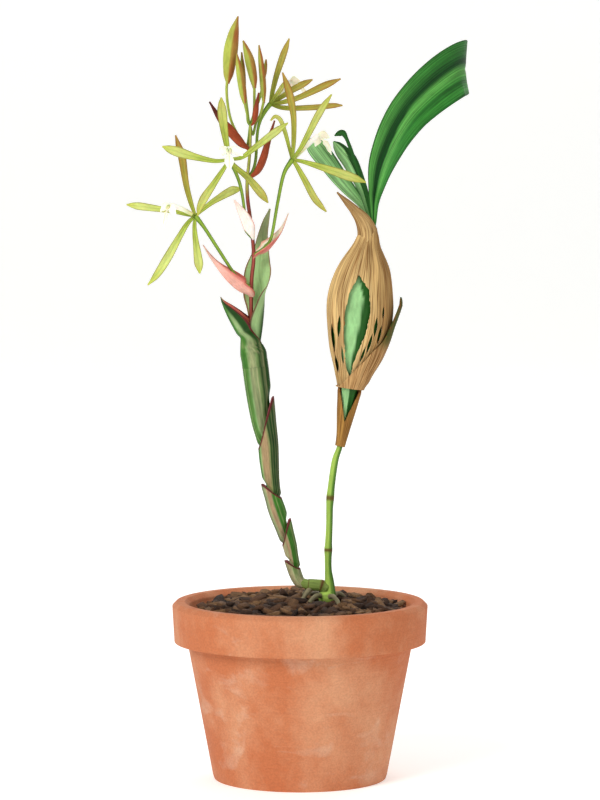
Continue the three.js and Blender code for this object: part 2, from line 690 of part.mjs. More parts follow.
// Flowers: hub, stalk up to the hub, five tepals and column with depths from the hub, and lip directions
const FLOWERS = {
  flower_a: {
    hub: [162.5, 280, -7],
    stalk: [[223.5, 367, -3.9, 3.8], [211.3, 353, -4.5, 4.2], [190, 320, -6, 4.6], [174, 295, -6.8, 5]],
    tepals: [
      [
        [156, 260, 0, 7], [150.5, 238, 0.4, 8.5], [145, 203, 1.4, 11], [140.5, 188, 2.4, 8],
        [136.3, 174, 3.4, 2.2],
      ],
      [
        [172, 272, 0.8, 5.5], [186, 261, 2.4, 8], [208, 248, 4.6, 12], [216, 245.5, 5.4, 9],
        [224, 243.5, 6, 2.2],
      ],
      [
        [153, 289, -0.6, 6.5], [143, 305, -1.2, 8.5], [126, 335, -1.6, 12], [112, 357, -1.2, 9.5],
        [99.8, 371, -0.6, 2.2],
      ],
      [
        [161.5, 295, -0.8, 6], [163.5, 315, -1.8, 8.5], [167, 340, -3, 12.5], [168, 348, -3.4, 9],
        [168.5, 355.5, -3.6, 2.2],
      ],
      [
        [150, 278, 1, 5], [128, 273, 3, 7], [92, 268, 5.6, 10.7], [80, 266.5, 6.4, 8],
        [70.7, 265.4, 7, 2.2],
      ],
    ],
    column: [[158.5, 277.5, -1.4], [146, 271, -3], [130, 265, -4]],
    out: [-0.75, -0.6, 0.28],
    down: [-0.35, -0.15, -1],
  },
  flower_b: {
    hub: [208.4, 206, -17],
    stalk: [
      [231.3, 303, -2.9, 4], [228, 296, -3.2, 4], [226.5, 268, -6, 4], [222, 240, -11, 4.4],
      [215, 220, -15, 5],
    ],
    tepals: [
      [
        [204.5, 185, -0.4, 8], [201, 163, -0.4, 11.5], [199, 145, 0.2, 13], [198, 134, 1, 9],
        [197.7, 125.3, 1.8, 2.2],
      ],
      [
        [190, 208, -0.4, 6], [165, 203, -0.6, 9.5], [144, 197, 0, 14], [130, 192.5, 1, 10],
        [120.5, 189, 2, 2.2],
      ],
      [
        [225, 203, -0.6, 6], [243, 189.5, -0.8, 8.5], [266, 172, 0, 10.5], [276, 164.5, 1, 7.5],
        [284.5, 158.5, 2, 2.2],
      ],
      [
        [217, 216.5, -0.2, 7], [231.6, 229, -0.2, 9], [246.8, 246.8, 0.8, 11.5],
        [253.5, 255.5, 1.6, 8.5], [258.4, 262.4, 2.4, 2.2],
      ],
      [
        [199, 221, -0.4, 6.5], [187, 239, -0.4, 9], [175.5, 256, 0.4, 11.5], [169.5, 268.5, 1.2, 8.5],
        [166.4, 279.8, 2, 2.2],
      ],
    ],
    column: [[208.4, 205, -1.3], [208.3, 199, -4.4], [208, 191, -7.5]],
    out: [0, -1, 0.25],
    down: [0.04, -0.25, -1],
  },
  flower_c: {
    hub: [290, 206, -9],
    stalk: [
      [250, 324.5, -4.3, 3.8], [254.5, 320, -4.9, 3.8], [262.5, 308, -5.5, 4], [271, 262, -7.4, 4.4],
      [279, 225, -9, 5],
    ],
    tepals: [
      [
        [292, 182, -0.4, 6.5], [292, 152, -0.4, 8], [288.3, 128, 0.2, 10.5], [283.5, 110, 1, 9],
        [277.3, 92, 2, 2.2],
      ],
      [
        [300, 193, -0.4, 6], [309, 177, -0.4, 8], [324, 148, 0.4, 10], [333, 133.5, 1.2, 8],
        [341.8, 120.6, 2, 2.2],
      ],
      [
        [286, 190, 0.6, 5], [280, 168, 1.2, 6], [274, 153.5, 1.8, 6], [267.5, 149.8, 2.4, 5],
        [261.5, 155, 2.8, 2.2],
      ],
      [
        [305, 209, 0, 6], [330, 216.5, 0, 9.5], [360, 226.5, 1, 13], [375, 231.5, 2, 9.5],
        [387, 236, 3, 2.2],
      ],
      [
        [297, 216, -0.4, 6.5], [307, 234, -0.6, 8.5], [319, 256, 0, 9.5], [327.5, 266.5, 0.6, 7],
        [335, 274.5, 1.2, 2.2],
      ],
    ],
    column: [[293.2, 203.5, 1.1], [308, 189, 5.2], [324, 173.5, 7.6]],
    out: [0.62, 0.6, 0.45],
    down: [0.62, 0.1, -0.78],
  },
  flower_d: {
    hub: [260.5, 132, 12],
    stalk: [
      [237, 222, 0.3, 4], [241.6, 206, 1.2, 4], [243.6, 172, 5.4, 4], [247, 155, 8.4, 4.6],
      [254, 141, 11, 6],
    ],
    tepals: [
      [
        [263.5, 116, 0.2, 6.5], [269, 94, 0, 8], [276.5, 71, -0.6, 9.5], [281.5, 57.5, -1.2, 7.5],
        [286, 45.2, -1.8, 2.2],
      ],
      [[266, 124, -1.6, 5.5], [271.5, 117, -3.4, 6.5], [277, 108.5, -5, 6], [281, 101, -6, 2.2]],
      [
        [272, 125, 0.6, 6], [287, 115, 0.6, 8.5], [301.7, 107, 0, 9.5], [310, 102.8, -0.4, 7],
        [317, 99.6, -0.8, 2.2],
      ],
      [
        [278, 129.5, -1, 6.5], [300, 123, -2, 8], [329.4, 109.5, -3.4, 10], [342, 104, -4.2, 8],
        [354.3, 99, -5, 2.2],
      ],
      [
        [275, 136.5, 0.4, 6.5], [296, 137.5, 0.6, 7.5], [325, 136, 0, 8], [345.7, 134, -0.8, 7],
        [357, 134, -1.4, 2.2],
      ],
    ],
    column: [[264, 128, 1.5], [275, 115, 4.2], [287, 101, 5.6]],
    out: [0.55, 0.5, 0.66],
    down: [0.75, 0.1, -0.5],
  },
};
const HUB_WIDTH = 7; // width of a flower's middle in the picture
const CLAW_WIDTH = 4.5; // width of a petal where it leaves the middle

function makeTepals({ hub, tepals, stalk: places }) {
  const [column, row, depth] = hub;
  const whole = [...places, [column, row, depth, HUB_WIDTH]];
  const pedicel = stalk(route(whole), halvesOf(whole), 8, { sides: 5 });
  const blades = tepals.map((points) => {
    const placed = points.map(([c, r, ahead, width]) => [c, r, depth + ahead, width]);
    return blade([[column, row, depth, CLAW_WIDTH], ...placed], { fold: [0.5, 0.3], rows: 7 });
  });
  return joined([pedicel, ...blades]);
}

// Lobes in millimetres from the end of the column: sideways, downwards and forwards
const SIDE_LOBE = [[0.2, 0.3, 0], [1.8, 0.9, 0.4], [3.4, 1.8, 0.3], [4.8, 3, -0.2]];
const SIDE_LOBE_WIDTHS = [1.6, 3, 3, 0.5];
const MIDDLE_LOBE = [[0, 0, 0], [0, 2.4, 0.5], [0, 5, 0.6], [0, 8.6, 0]];
const MIDDLE_LOBE_WIDTHS = [1.5, 1.2, 3.4, 0.5];
const LOBE_FOLD = [0.2, 0.2];
const COLUMN_RADII = [0.7, 0.85, 1];

// White lip on the end of the column: two side lobes, narrow neck and pointed middle lobe
function makeLip({ hub, column, out, down }) {
  const columnRoute = route(column.map(([c, r, ahead]) => [c, r, hub[2] + ahead]));
  const apex = columnRoute.getPoint(1);
  const forward = new THREE.Vector3(...out).normalize();
  const hang = new THREE.Vector3(...down);
  hang.addScaledVector(forward, -hang.dot(forward)).normalize();
  const side = new THREE.Vector3().crossVectors(forward, hang);
  const local = ([sideways, drop, ahead]) =>
    apex.clone().addScaledVector(side, sideways).addScaledVector(hang, drop).addScaledVector(forward, ahead);
  const facings = [forward.toArray(), forward.toArray()];
  const lobe = (points, widths) => {
    const curve = new THREE.CatmullRomCurve3(points.map(local), false, "catmullrom", 0.5);
    return sheet(bladeSurface(curve, widths, facings, LOBE_FOLD), 5, 2);
  };
  const wings = [-1, 1].map((turn) => {
    const points = SIDE_LOBE.map(([sideways, drop, ahead]) => [turn * sideways, drop, ahead]);
    return lobe(points, SIDE_LOBE_WIDTHS);
  });
  const middle = lobe(MIDDLE_LOBE, MIDDLE_LOBE_WIDTHS);
  return joined([stalk(columnRoute, COLUMN_RADII, 3, { reference: hang }), ...wings, middle]);
}

const BUD_STALK_RADII = [0.45, 0.5];

function makeBud({ stalk: places, bud }) {
  const pedicel = stalk(route(places), BUD_STALK_RADII, 7, { sides: 5 });
  const head = stalk(route(bud), halvesOf(bud), 8, { sides: 8 });
  return pedicel.add(head);
}

function makeStem() {
  return stalk(route(STEM), halvesOf(STEM), 22);
}

const plant = new THREE.Group();

function addPiece(name, solid, colour) {
  const [tint, roughness] = COLOURS[colour];
  const material = new THREE.MeshStandardMaterial({ color: tint, roughness, metalness: 0 });
  const mesh = new THREE.Mesh(geometryFrom(solid), material);
  mesh.name = name;
  plant.add(mesh);
}

addPiece("pot", makePot(), "clay");
addPiece("growing_medium", makeMedium([makeRhizome(GAP)]), "bark");
addPiece("rhizome_and_roots", makeRhizome(), "rhizome");
addPiece("old_pseudobulb", makeCane(), "cane");
addPiece("old_sheath_lower", makeLowerSheath(), "lower");
addPiece("old_sheath_upper", makeUpperSheath(), "papery");
addPiece("old_sheath_wrap", makeWrapSheath(), "papery");
const largeLeaf = blade(LARGE_LEAF, { facings: LARGE_FACINGS, fold: LARGE_FOLD, rows: 24, columns: 4 });
addPiece("old_leaf_large", largeLeaf, "darkLeaf");
addPiece("old_leaf_middle", blade(MIDDLE_LEAF, { fold: [0.5, 0.2], rows: 14, columns: 4 }), "paleLeaf");
addPiece("old_leaf_side", blade(SIDE_LEAF, { fold: [0.6, 0.4], rows: 12, columns: 4 }), "paleLeaf");
for (const index of SHEATHS.keys()) {
  addPiece(`new_sheath_${index + 1}`, makeYoungSheath(index), "youngSheath");
}
const outerLeaf = blade(OUTER_LEAF, { facings: OUTER_FACINGS, fold: OUTER_FOLD, rows: 8, columns: 4 });
const innerLeaf = blade(INNER_LEAF, { facings: INNER_FACINGS, fold: INNER_FOLD, rows: 18, columns: 4 });
addPiece("new_leaf_outer", outerLeaf, "youngSheath");
addPiece("new_leaf_inner", innerLeaf, "youngLeaf");
addPiece("flower_stem", makeStem(), "peduncle");
for (const [name, { points, facings, fold }] of Object.entries(BRACTS)) {
  addPiece(name, blade(points, { facings, fold }), name === "bract_b" ? "pinkBract" : "redBract");
}
for (const [name, shape] of Object.entries(BUDS)) {
  addPiece(name, makeBud(shape), "bud");
}
for (const [name, shape] of Object.entries(FLOWERS)) {
  addPiece(`${name}_tepals`, makeTepals(shape), "tepal");
  addPiece(`${name}_lip`, makeLip(shape), "lip");
}

export default plant;
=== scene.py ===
# An orchid in a clay pot: an old leafy shoot and a young shoot in flower
import math

import bmesh
import bpy
import numpy as np
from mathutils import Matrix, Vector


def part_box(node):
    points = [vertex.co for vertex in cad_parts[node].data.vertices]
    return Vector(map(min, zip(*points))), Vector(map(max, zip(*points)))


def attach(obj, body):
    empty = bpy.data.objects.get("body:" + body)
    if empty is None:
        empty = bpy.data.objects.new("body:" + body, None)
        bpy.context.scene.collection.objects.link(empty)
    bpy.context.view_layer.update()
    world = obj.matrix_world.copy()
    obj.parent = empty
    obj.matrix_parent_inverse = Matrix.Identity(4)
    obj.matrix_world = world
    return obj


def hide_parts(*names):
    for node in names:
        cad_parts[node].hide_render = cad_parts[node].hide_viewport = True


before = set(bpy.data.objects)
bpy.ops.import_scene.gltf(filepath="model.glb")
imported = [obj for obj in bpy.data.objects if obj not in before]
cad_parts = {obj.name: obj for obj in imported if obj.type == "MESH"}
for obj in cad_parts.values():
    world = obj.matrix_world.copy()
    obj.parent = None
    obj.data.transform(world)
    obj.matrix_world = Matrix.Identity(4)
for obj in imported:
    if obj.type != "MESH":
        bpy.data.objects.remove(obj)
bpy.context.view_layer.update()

# Picture places turn into places in metres with these values
MM = 0.001
PIXEL = 0.27 * MM
POT_AXIS_COLUMN = 300.25
PLANT_FOOT_ROW = 795
POT_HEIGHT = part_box("pot")[1].z
POT_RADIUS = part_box("pot")[1].x
PLANT_FOOT_HEIGHT = POT_HEIGHT - 0.5 * MM
AWAY = np.array([0.0, 1.0, 0.0])
RIGHT = 0.0
LEFT = math.pi

SEED = 7
chance = np.random.default_rng(SEED)

COLOURS = {
    "clay": "#b8693f",
    "clay pale": "#d09a74",
    "mineral": "#d9cbb6",
    "bark": "#5b3b22",
    "bark dark": "#2e1c10",
    "bark pale": "#8a6743",
    "soil": "#2a1c12",
    "root": "#8a8163",
    "root tip": "#77754a",
    "knob green": "#a3c257",
    "scar brown": "#5c3516",
    "rhizome": "#7f9448",
    "cane": "#55802a",
    "cane pale": "#a3c257",
    "bulb pale": "#93c383",
    "bulb dark": "#22551a",
    "papery": "#c39a5c",
    "papery pale": "#d8b67b",
    "papery brown": "#74491d",
    "papery green": "#1f4a12",
    "fibrous": "#a87c3c",
    "fibrous dark": "#794a1e",
    "leaf dark": "#11501a",
    "leaf deep": "#0b3d11",
    "leaf mid": "#31792b",
    "leaf light": "#569a45",
    "leaf pale": "#8cbc7b",
    "leaf shade": "#1f4a1c",
    "young green": "#3c7423",
    "young deep": "#173f0c",
    "young pale": "#a5c886",
    "young grey": "#868d64",
    "young brown": "#86603f",
    "young pink": "#ad8a69",
    "maroon": "#5a151d",
    "maroon pale": "#a5545a",
    "stem red": "#9a4a3e",
    "stem green": "#b0c050",
    "bract red": "#c55f53",
    "bract pink": "#df8878",
    "bract blush": "#f0c9ba",
    "bract cream": "#f5edcf",
    "bract rose": "#e29f8f",
    "bract white": "#fbf1e8",
    "bract brown": "#9a4526",
    "bract dark": "#40160f",
    "bud green": "#a9b24c",
    "bud brown": "#a0602f",
    "tepal": "#bfcd58",
    "tepal green": "#8aa738",
    "tepal pale": "#dfe59a",
    "flush brown": "#9c642b",
    "pedicel": "#7c9c3c",
    "lip white": "#fbf8ef",
    "lip cream": "#efe6c4",
    "column green": "#d3d58c",
    "callus green": "#a9bb5a",
    "young straw": "#b3ab80",
    "inside pink": "#d4705e",
    "papery rose": "#c49b66",
    "cane dark": "#3f6420",
    "line olive": "#6b6a23",
    "pedicel dark": "#4a6a20",
    "backdrop": "#fbfbf9",
}


# Linear colour values of a name in the list above
def tone(name):
    code = COLOURS[name].lstrip("#")
    values = np.array([int(code[i : i + 2], 16) / 255 for i in (0, 2, 4)])
    return np.where(values <= 0.04045, values / 12.92, ((values + 0.055) / 1.055) ** 2.4)


def between(first, second, share):
    share = np.clip(np.asarray(share, float), 0, 1)[..., None]
    return first + (second - first) * share


def ease(values):
    values = np.clip(values, 0, 1)
    return values * values * (3 - 2 * values)


def unit(vectors):
    return vectors / np.maximum(np.linalg.norm(vectors, axis=-1, keepdims=True), 1e-12)


# A place on the plant from a picture column, a picture row and a depth in millimetres
def spot(place):
    column, row, depth = [*place, 0][:3]
    height = PLANT_FOOT_HEIGHT + (PLANT_FOOT_ROW - row) * PIXEL
    return np.array([(column - POT_AXIS_COLUMN) * PIXEL, depth * MM, height])


def spots(places):
    return np.array([spot(place) for place in places])


def widths_of(places):
    return np.array([place[3] for place in places]) * PIXEL


# Values at shares t along a smooth curve through the listed ones
def flow(values, t, mirrored=True):
    values = np.asarray(values, float)
    before = 2 * values[0] - values[1] if mirrored else values[0]
    after = 2 * values[-1] - values[-2] if mirrored else values[-1]
    padded = np.concatenate([[before], values, [after]])
    place = np.clip(t, 0, 1) * (len(values) - 1)
    index = np.minimum(np.floor(place).astype(int), len(values) - 2)
    share = place - index
    share = share.reshape(share.shape + (1,) * (values.ndim - 1))
    a, b, c, d = (padded[index + k] for k in range(4))
    curved = 2 * a - 5 * b + 4 * c - d + share * (3 * (b - c) + d - a)
    return b + 0.5 * share * (c - a + share * curved)


def smooth(values, t):
    return flow(values, t, mirrored=False)


def tangents(points, t):
    step = 1e-4
    return unit(flow(points, np.minimum(t + step, 1)) - flow(points, np.maximum(t - step, 0)))


def lengths(points, t):
    steps = np.linalg.norm(np.diff(flow(points, t), axis=0), axis=1)
    return np.concatenate([[0], np.cumsum(steps)])


# Smooth random values between -1 and 1, one for each share of the list
def wander(shares, knots, seed):
    values = np.random.default_rng(seed).uniform(-1, 1, knots)
    return smooth(values, shares)


def grid_faces(rows, columns, closed=False):
    index = np.arange(rows * columns).reshape(rows, columns)
    here = index if closed else index[:, :-1]
    there = np.roll(index, -1, axis=1) if closed else index[:, 1:]
    quads = np.stack([here[:-1], there[:-1], there[1:], here[1:]], axis=-1)
    return quads.reshape(-1, 4).tolist()


# Faces of a row of rings that is closed at both ends
def tube_faces(rows, sides):
    last = (rows - 1) * sides
    caps = [list(range(sides))[::-1], list(range(last, last + sides))]
    return grid_faces(rows, sides, closed=True) + caps


def add_object(name, data):
    item = bpy.data.objects.new(name, data)
    bpy.context.scene.collection.objects.link(item)
    return item


# Turns a finished loose shell into an object
def add_shell(name, shell):
    mesh = bpy.data.meshes.new(name)
    shell.to_mesh(mesh)
    shell.free()
    return add_object(name, mesh)


# Parts of one piece, gathered with their grain coordinates and tints
class Skin:
    def __init__(self):
        self.points = []
        self.faces = []
        self.grain = []
        self.tints = []
        self.count = 0

    def add(self, points, faces, grain, tints):
        points = np.asarray(points, float).reshape(-1, 3)
        self.points.append(points)
        self.grain.append(np.broadcast_to(grain, (*np.shape(grain)[:-1], 3)).reshape(-1, 3))
        self.tints.append(np.broadcast_to(tints, (*np.shape(grain)[:-1], 3)).reshape(-1, 3))
        self.faces += [[corner + self.count for corner in face] for face in faces]
        self.count += len(points)

    def piece(self, name, material):
        mesh = bpy.data.meshes.new(name)
        mesh.from_pydata(np.concatenate(self.points).tolist(), [], self.faces)
        shell = bmesh.new()
        shell.from_mesh(mesh)
        bmesh.ops.recalc_face_normals(shell, faces=shell.faces)
        shell.to_mesh(mesh)
        shell.free()
        corners = np.empty(len(mesh.loops), int)
        mesh.loops.foreach_get("vertex_index", corners)
        grain = mesh.attributes.new("grain", "FLOAT_VECTOR", "CORNER")
        grain.data.foreach_set("vector", np.concatenate(self.grain)[corners].astype(np.float32).ravel())
        tints = np.concatenate(self.tints)[corners]
        colours = np.column_stack([tints, np.ones(len(tints))])
        tint = mesh.attributes.new("tint", "FLOAT_COLOR", "CORNER")
        tint.data.foreach_set("color", colours.astype(np.float32).ravel())
        mesh.shade_smooth()
        mesh.materials.append(material)
        return add_object(name, mesh)


# Directions across a curve: to the right of the viewer and away from the viewer
def across(points, t, reference=AWAY):
    along = tangents(points, t)
    far = unit(reference - (along @ reference)[:, None] * along)
    return np.cross(far, along), far


# Rings round a curve; radius is in metres, one value for each row or each row and angle
def rings_round(points, t, radius, angles, flat=1.0, reference=AWAY):
    right, far = across(points, t, reference)
    radius = np.broadcast_to(radius if np.ndim(radius) == 2 else radius[:, None], (len(t), len(angles)))
    sideways = (radius * np.cos(angles))[..., None] * right[:, None]
    outward = (radius * flat * np.sin(angles))[..., None] * far[:, None]
    return flow(points, t)[:, None] + sideways + outward


def turns(sides):
    return np.arange(sides) * 2 * math.pi / sides


# A closed stalk with its grain running lengthwise
def add_tube(skin, points, t, radius, tints, sides=16, flat=1.0, reference=AWAY):
    angles = turns(sides)
    rings = rings_round(points, t, radius, angles, flat, reference)
    width = float(np.mean(radius)) / MM
    grain = np.empty(rings.shape)
    grain[..., 0] = width * np.cos(angles)
    grain[..., 1] = width * np.sin(angles)
    grain[..., 2] = (lengths(points, t) / MM)[:, None]
    tints = tints if np.ndim(tints) == 3 else np.broadcast_to(tints[:, None], rings.shape)
    skin.add(rings, tube_faces(len(t), sides), grain, tints)


# A thin sheet with a facing side and a reverse side that meet at a fine margin
def add_sheet(skin, surface, normal, thickness, grain, facing_tints, reverse_tints):
    rows, columns = surface.shape[:2]
    half = (thickness / 2)[..., None] * normal
    count = rows * columns
    upper = grid_faces(rows, columns)
    lower = [[corner + count for corner in face[::-1]] for face in upper]
    index = np.arange(count).reshape(rows, columns)
    rim = [*index[0, :-1], *index[:-1, -1], *index[-1, :0:-1], *index[:0:-1, 0]]
    edge = [
        [int(here), int(here) + count, int(there) + count, int(there)]
        for here, there in zip(rim, [*rim[1:], rim[0]])
    ]
    points = np.concatenate([(surface + half).reshape(-1, 3), (surface - half).reshape(-1, 3)])
    tints = np.concatenate([facing_tints.reshape(-1, 3), reverse_tints.reshape(-1, 3)])
    grain = np.concatenate([grain.reshape(-1, 3)] * 2)
    skin.add(points, upper + lower + edge, grain, tints)


def surface_normals(surface):
    along = np.gradient(surface, axis=0)
    sideways = np.gradient(surface, axis=1)
    return unit(np.cross(along, sideways))


# The middle surface of a leaf on a midrib, folded towards the side that it faces
def leaf_surface(points, widths, facings, fold, t, v, groove=0.0, ruffle=0.0, waves=5, seed=0):
    along = tangents(points, t)
    facing = smooth(facings, t)
    normal = unit(facing - np.sum(facing * along, axis=1)[:, None] * along)
    side = np.cross(normal, along)
    half = np.maximum(smooth(widths, t), 0.1 * MM) / 2
    angle = smooth(fold, t)
    reach = np.sqrt(v * v + 0.002)
    rise = np.outer(np.sin(angle) * half, reach * (0.4 + 0.6 * reach))
    rise -= groove * np.outer(np.minimum(1, half / MM), np.exp(-((v / 0.09) ** 2)))
    if ruffle:
        wave = np.sin(2 * math.pi * waves * t + 3 * wander(t, 6, seed))
        rise += ruffle * np.outer(np.sin(math.pi * t) * wave, np.sign(v) * v * v)
    sideways = np.outer(np.cos(angle) * half, v)
    return flow(points, t)[:, None] + sideways[..., None] * side[:, None] + rise[..., None] * normal[:, None]


# A lobe or blade; paint gives facing and reverse tints for shares t and v
def add_lobe(skin, points, widths, paint, facings=((0, -1, 0), (0, -1, 0)), fold=(0.25, 0.25),
             rows=40, columns=16, thickness=0.6 * MM, margin=0.3, **shape):
    t = np.linspace(0, 1, rows + 1)
    v = np.sin(np.linspace(-1, 1, columns + 1) * math.pi / 2)
    surface = leaf_surface(points, widths, facings, fold, t, v, **shape)
    normal = surface_normals(surface)
    narrow = np.minimum(1, smooth(widths, t) / (4 * thickness))
    depth = thickness * np.outer(np.maximum(narrow, margin), 1 - (1 - margin) * np.abs(v) ** 3)
    broad = float(np.max(widths)) / MM
    grain = np.zeros(surface.shape)
    grain[..., 0] = broad / 2 * v
    grain[..., 2] = (lengths(points, t) / MM)[:, None]
    facing_tints, reverse_tints = paint(t[:, None] + 0 * v, 0 * t[:, None] + v)
    add_sheet(skin, surface, normal, depth, grain, facing_tints, reverse_tints)


# A leaf, bract or petal along picture places with depths and widths
def add_blade(skin, places, paint, **shape):
    add_lobe(skin, spots(places), widths_of(places), paint, **shape)


# Settles a finished piece on the frame in place of the solid that it stands for
def settle(piece, node):
    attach(piece, "root")
    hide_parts(node)
    return piece


# Adds a shader node and fills or links its inputs by name
def shade(tree, kind, inputs=None, **settings):
    node = tree.nodes.new(kind)
    for name, value in settings.items():
        setattr(node, name, value)
    for name, value in (inputs or {}).items():
        if isinstance(value, bpy.types.NodeSocket):
            tree.links.new(value, node.inputs[name])
        else:
            node.inputs[name].default_value = value
    return node


def new_material(name, **sockets):
    material = bpy.data.materials.new(name)
    material.use_nodes = True
    tree = material.node_tree
    shader = next(node for node in tree.nodes if node.type == "BSDF_PRINCIPLED")
    for socket, value in sockets.items():
        shader.inputs[socket.replace("_", " ")].default_value = value
    return material, tree, shader


def attribute(tree, name, output):
    return shade(tree, "ShaderNodeAttribute", attribute_name=name).outputs[output]


# Noise from 0 to 1 on coordinates that are stretched by three factors
def noise(tree, vector, stretch, detail=3.0, roughness=0.55, distortion=0.0):
    mapped = shade(tree, "ShaderNodeMapping", {"Vector": vector, "Scale": stretch})
    inputs = {"Vector": mapped.outputs["Vector"], "Scale": 1.0, "Detail": detail}
    inputs |= {"Roughness": roughness, "Distortion": distortion}
    return shade(tree, "ShaderNodeTexNoise", inputs).outputs["Fac"]


def spread(tree, value, low, high, new_low, new_high):
    inputs = {"Value": value, "From Min": low, "From Max": high, "To Min": new_low, "To Max": new_high}
    return shade(tree, "ShaderNodeMapRange", inputs).outputs["Result"]


# A colour multiplied by a grey value
def darkened(tree, colour, value):
    grey = shade(tree, "ShaderNodeCombineColor", {"Red": value, "Green": value, "Blue": value})
    mixed = shade(tree, "ShaderNodeMix", data_type="RGBA", blend_type="MULTIPLY")
    mixed.inputs[0].default_value = 1.0
    tree.links.new(colour, mixed.inputs[6])
    tree.links.new(grey.outputs["Color"], mixed.inputs[7])
    return mixed.outputs[2]


def mixed_in(tree, colour, name, share):
    mixed = shade(tree, "ShaderNodeMix", data_type="RGBA")
    tree.links.new(share, mixed.inputs[0])
    tree.links.new(colour, mixed.inputs[6])
    mixed.inputs[7].default_value = (*tone(name), 1)
    return mixed.outputs[2]


def bump(tree, height, distance, strength=1.0, normal=None):
    inputs = {"Height": height, "Distance": distance, "Strength": strength}
    if normal:
        inputs["Normal"] = normal
    return shade(tree, "ShaderNodeBump", inputs).outputs["Normal"]


# Plant tissue: tinted, streaked lengthwise by its fibres and softly mottled
def tissue(name, roughness, fibres, streaks, mottle, relief, soft=0.0):
    material, tree, shader = new_material(
        name, Roughness=roughness, Specular_IOR_Level=0.15, Subsurface_Weight=soft,
        Subsurface_Scale=1.2 * MM,
    )
    grain = attribute(tree, "grain", "Vector")
    fine = noise(tree, grain, (fibres, fibres, 0.12 * fibres), detail=2.0)
    broad = noise(tree, grain, (0.45, 0.45, 0.16), detail=3.0)
    colour = attribute(tree, "tint", "Color")
    colour = darkened(tree, colour, spread(tree, fine, 0.3, 0.7, 1 - streaks, 1 + 0.5 * streaks))
    colour = darkened(tree, colour, spread(tree, broad, 0.3, 0.7, 1 - mottle, 1 + 0.6 * mottle))
    tree.links.new(colour, shader.inputs["Base Color"])
    tree.links.new(bump(tree, fine, relief), shader.inputs["Normal"])
    return material


# The plant's shapes as picture places with depths and widths
RHIZOME = [
    [298, 766.5, 0], [308, 770.5, 0], [315, 771.5, 0], [322, 772, 0], [329, 773, 0], [336, 777, 0],
]

KNOB = [[325, 789, 0], [331, 788.5, 0], [339, 788, 0], [345.5, 787, 0]]

ROOTS = [
    [[330, 787, 0], [322, 784, -5], [312, 793, -9], [308, 812, -11]],
    [[338, 788, 0], [345, 785, -6], [352, 794, -10], [354, 814, -11]],
    [[340, 788, 0], [352, 785, 4], [362, 796, 7], [366, 816, 8]],
    [[328, 787, 0], [320, 785, 5], [312, 794, 10], [306, 814, 12]],
    [[315, 772, 0], [307, 784, 4], [301, 797, 7], [297, 816, 8]],
    [[316, 773, 0], [306, 786, -3], [299, 798, -7], [294, 816, -8]],
]

CANE = [
    [340.5, 786, 0], [339.5, 768, 0], [338, 750, 0], [338, 725, 0], [339.3, 694, 0], [340.5, 655, 0],
    [346.5, 608, 0], [353, 587, 0], [358, 560, 0], [362, 535, 0], [366, 509, 0], [369, 488, 0],
    [373.5, 459, 0], [378, 422, 0], [380.5, 387, 0], [385, 350, 0], [389, 322, 0], [396.5, 293, 0],
]

CLUB = [
    [352.5, 590, 0, 14], [356.5, 571, 0, 17], [361.5, 540, 0, 26], [366.5, 509, 0, 35], [369, 488, 0, 48],
    [373.5, 459, 0, 71], [378.5, 422, 0, 87], [380, 387, 0, 87.5], [385, 350, 0, 70], [388.7, 320, 0, 38],
    [391.5, 304, 0, 27], [396, 290, 0, 14],
]

WINDOW = [
    [378, 357.5], [391.5, 378], [393, 407], [386.7, 436], [378, 456], [370, 476], [366.6, 495],
    [361, 478], [358, 436], [359.4, 407], [365, 382],
]

SHEATH_TAIL = [
    [388.5, 334, -3.3, 30], [389, 316, -3.2, 34], [388.5, 299, -3.3, 30], [383, 286, -3.5, 22],
    [373.5, 274, -3.8, 14], [362, 262, -3.8, 8.5], [349, 249, -3.4, 2.4],
]

LARGE_LEAF = [
    [396.5, 300, 0.9, 7], [398, 289, 1, 9], [398.5, 266, 1.2, 14], [400.5, 247, 1.4, 22],
    [407, 216, 2.4, 36], [418, 188, 3.8, 45], [430.5, 164, 5.6, 52], [446, 141.5, 7.6, 58],
    [467, 119.5, 10.8, 64], [490, 100, 15, 69], [510, 86.5, 20, 73], [520.5, 82.5, 25.5, 75],
    [523.5, 84, 31, 69], [522, 89, 36.5, 53], [518, 97, 41.5, 29], [513, 105, 45, 5],
]

LARGE_FACINGS = [
    *[[0, -1, 0]] * 6, [0.05, -1, 0], [0.12, -1, 0], [0.22, -1, 0], [0.42, -1, 0], [0.7, -0.8, 0],
    [0.9, -0.5, 0], [1, -0.15, 0.05], [1, 0.1, 0.15], [1, 0.2, 0.2], [1, 0.2, 0.2],
]

LARGE_FOLD = [0.9, 0.4, 0.25, 0.1, 0.1]

MIDDLE_LEAF = [
    [394.5, 298, 2.2, 5], [392.5, 285, 4.1, 6], [388, 274, 4.5, 9], [380, 262, 5, 13],
    [366, 246, 5.6, 19], [352, 229, 6.1, 23], [338, 210, 6.4, 26], [326, 194.5, 6.6, 27.5],
    [319, 185.5, 6.6, 24], [315.5, 181, 6.6, 11], [313.2, 177.8, 6.6, 4],
]

SIDE_LEAF = [
    [395.5, 298, 1.8, 5], [394.5, 286, 2.7, 6], [390.5, 272, 2.9, 9], [385, 250, 3.3, 14],
    [376, 228, 3.9, 19], [366, 208, 4.3, 23], [356.5, 196, 4.5, 20], [349.5, 187.5, 4.5, 13],
    [344.5, 182, 4.5, 3],
]

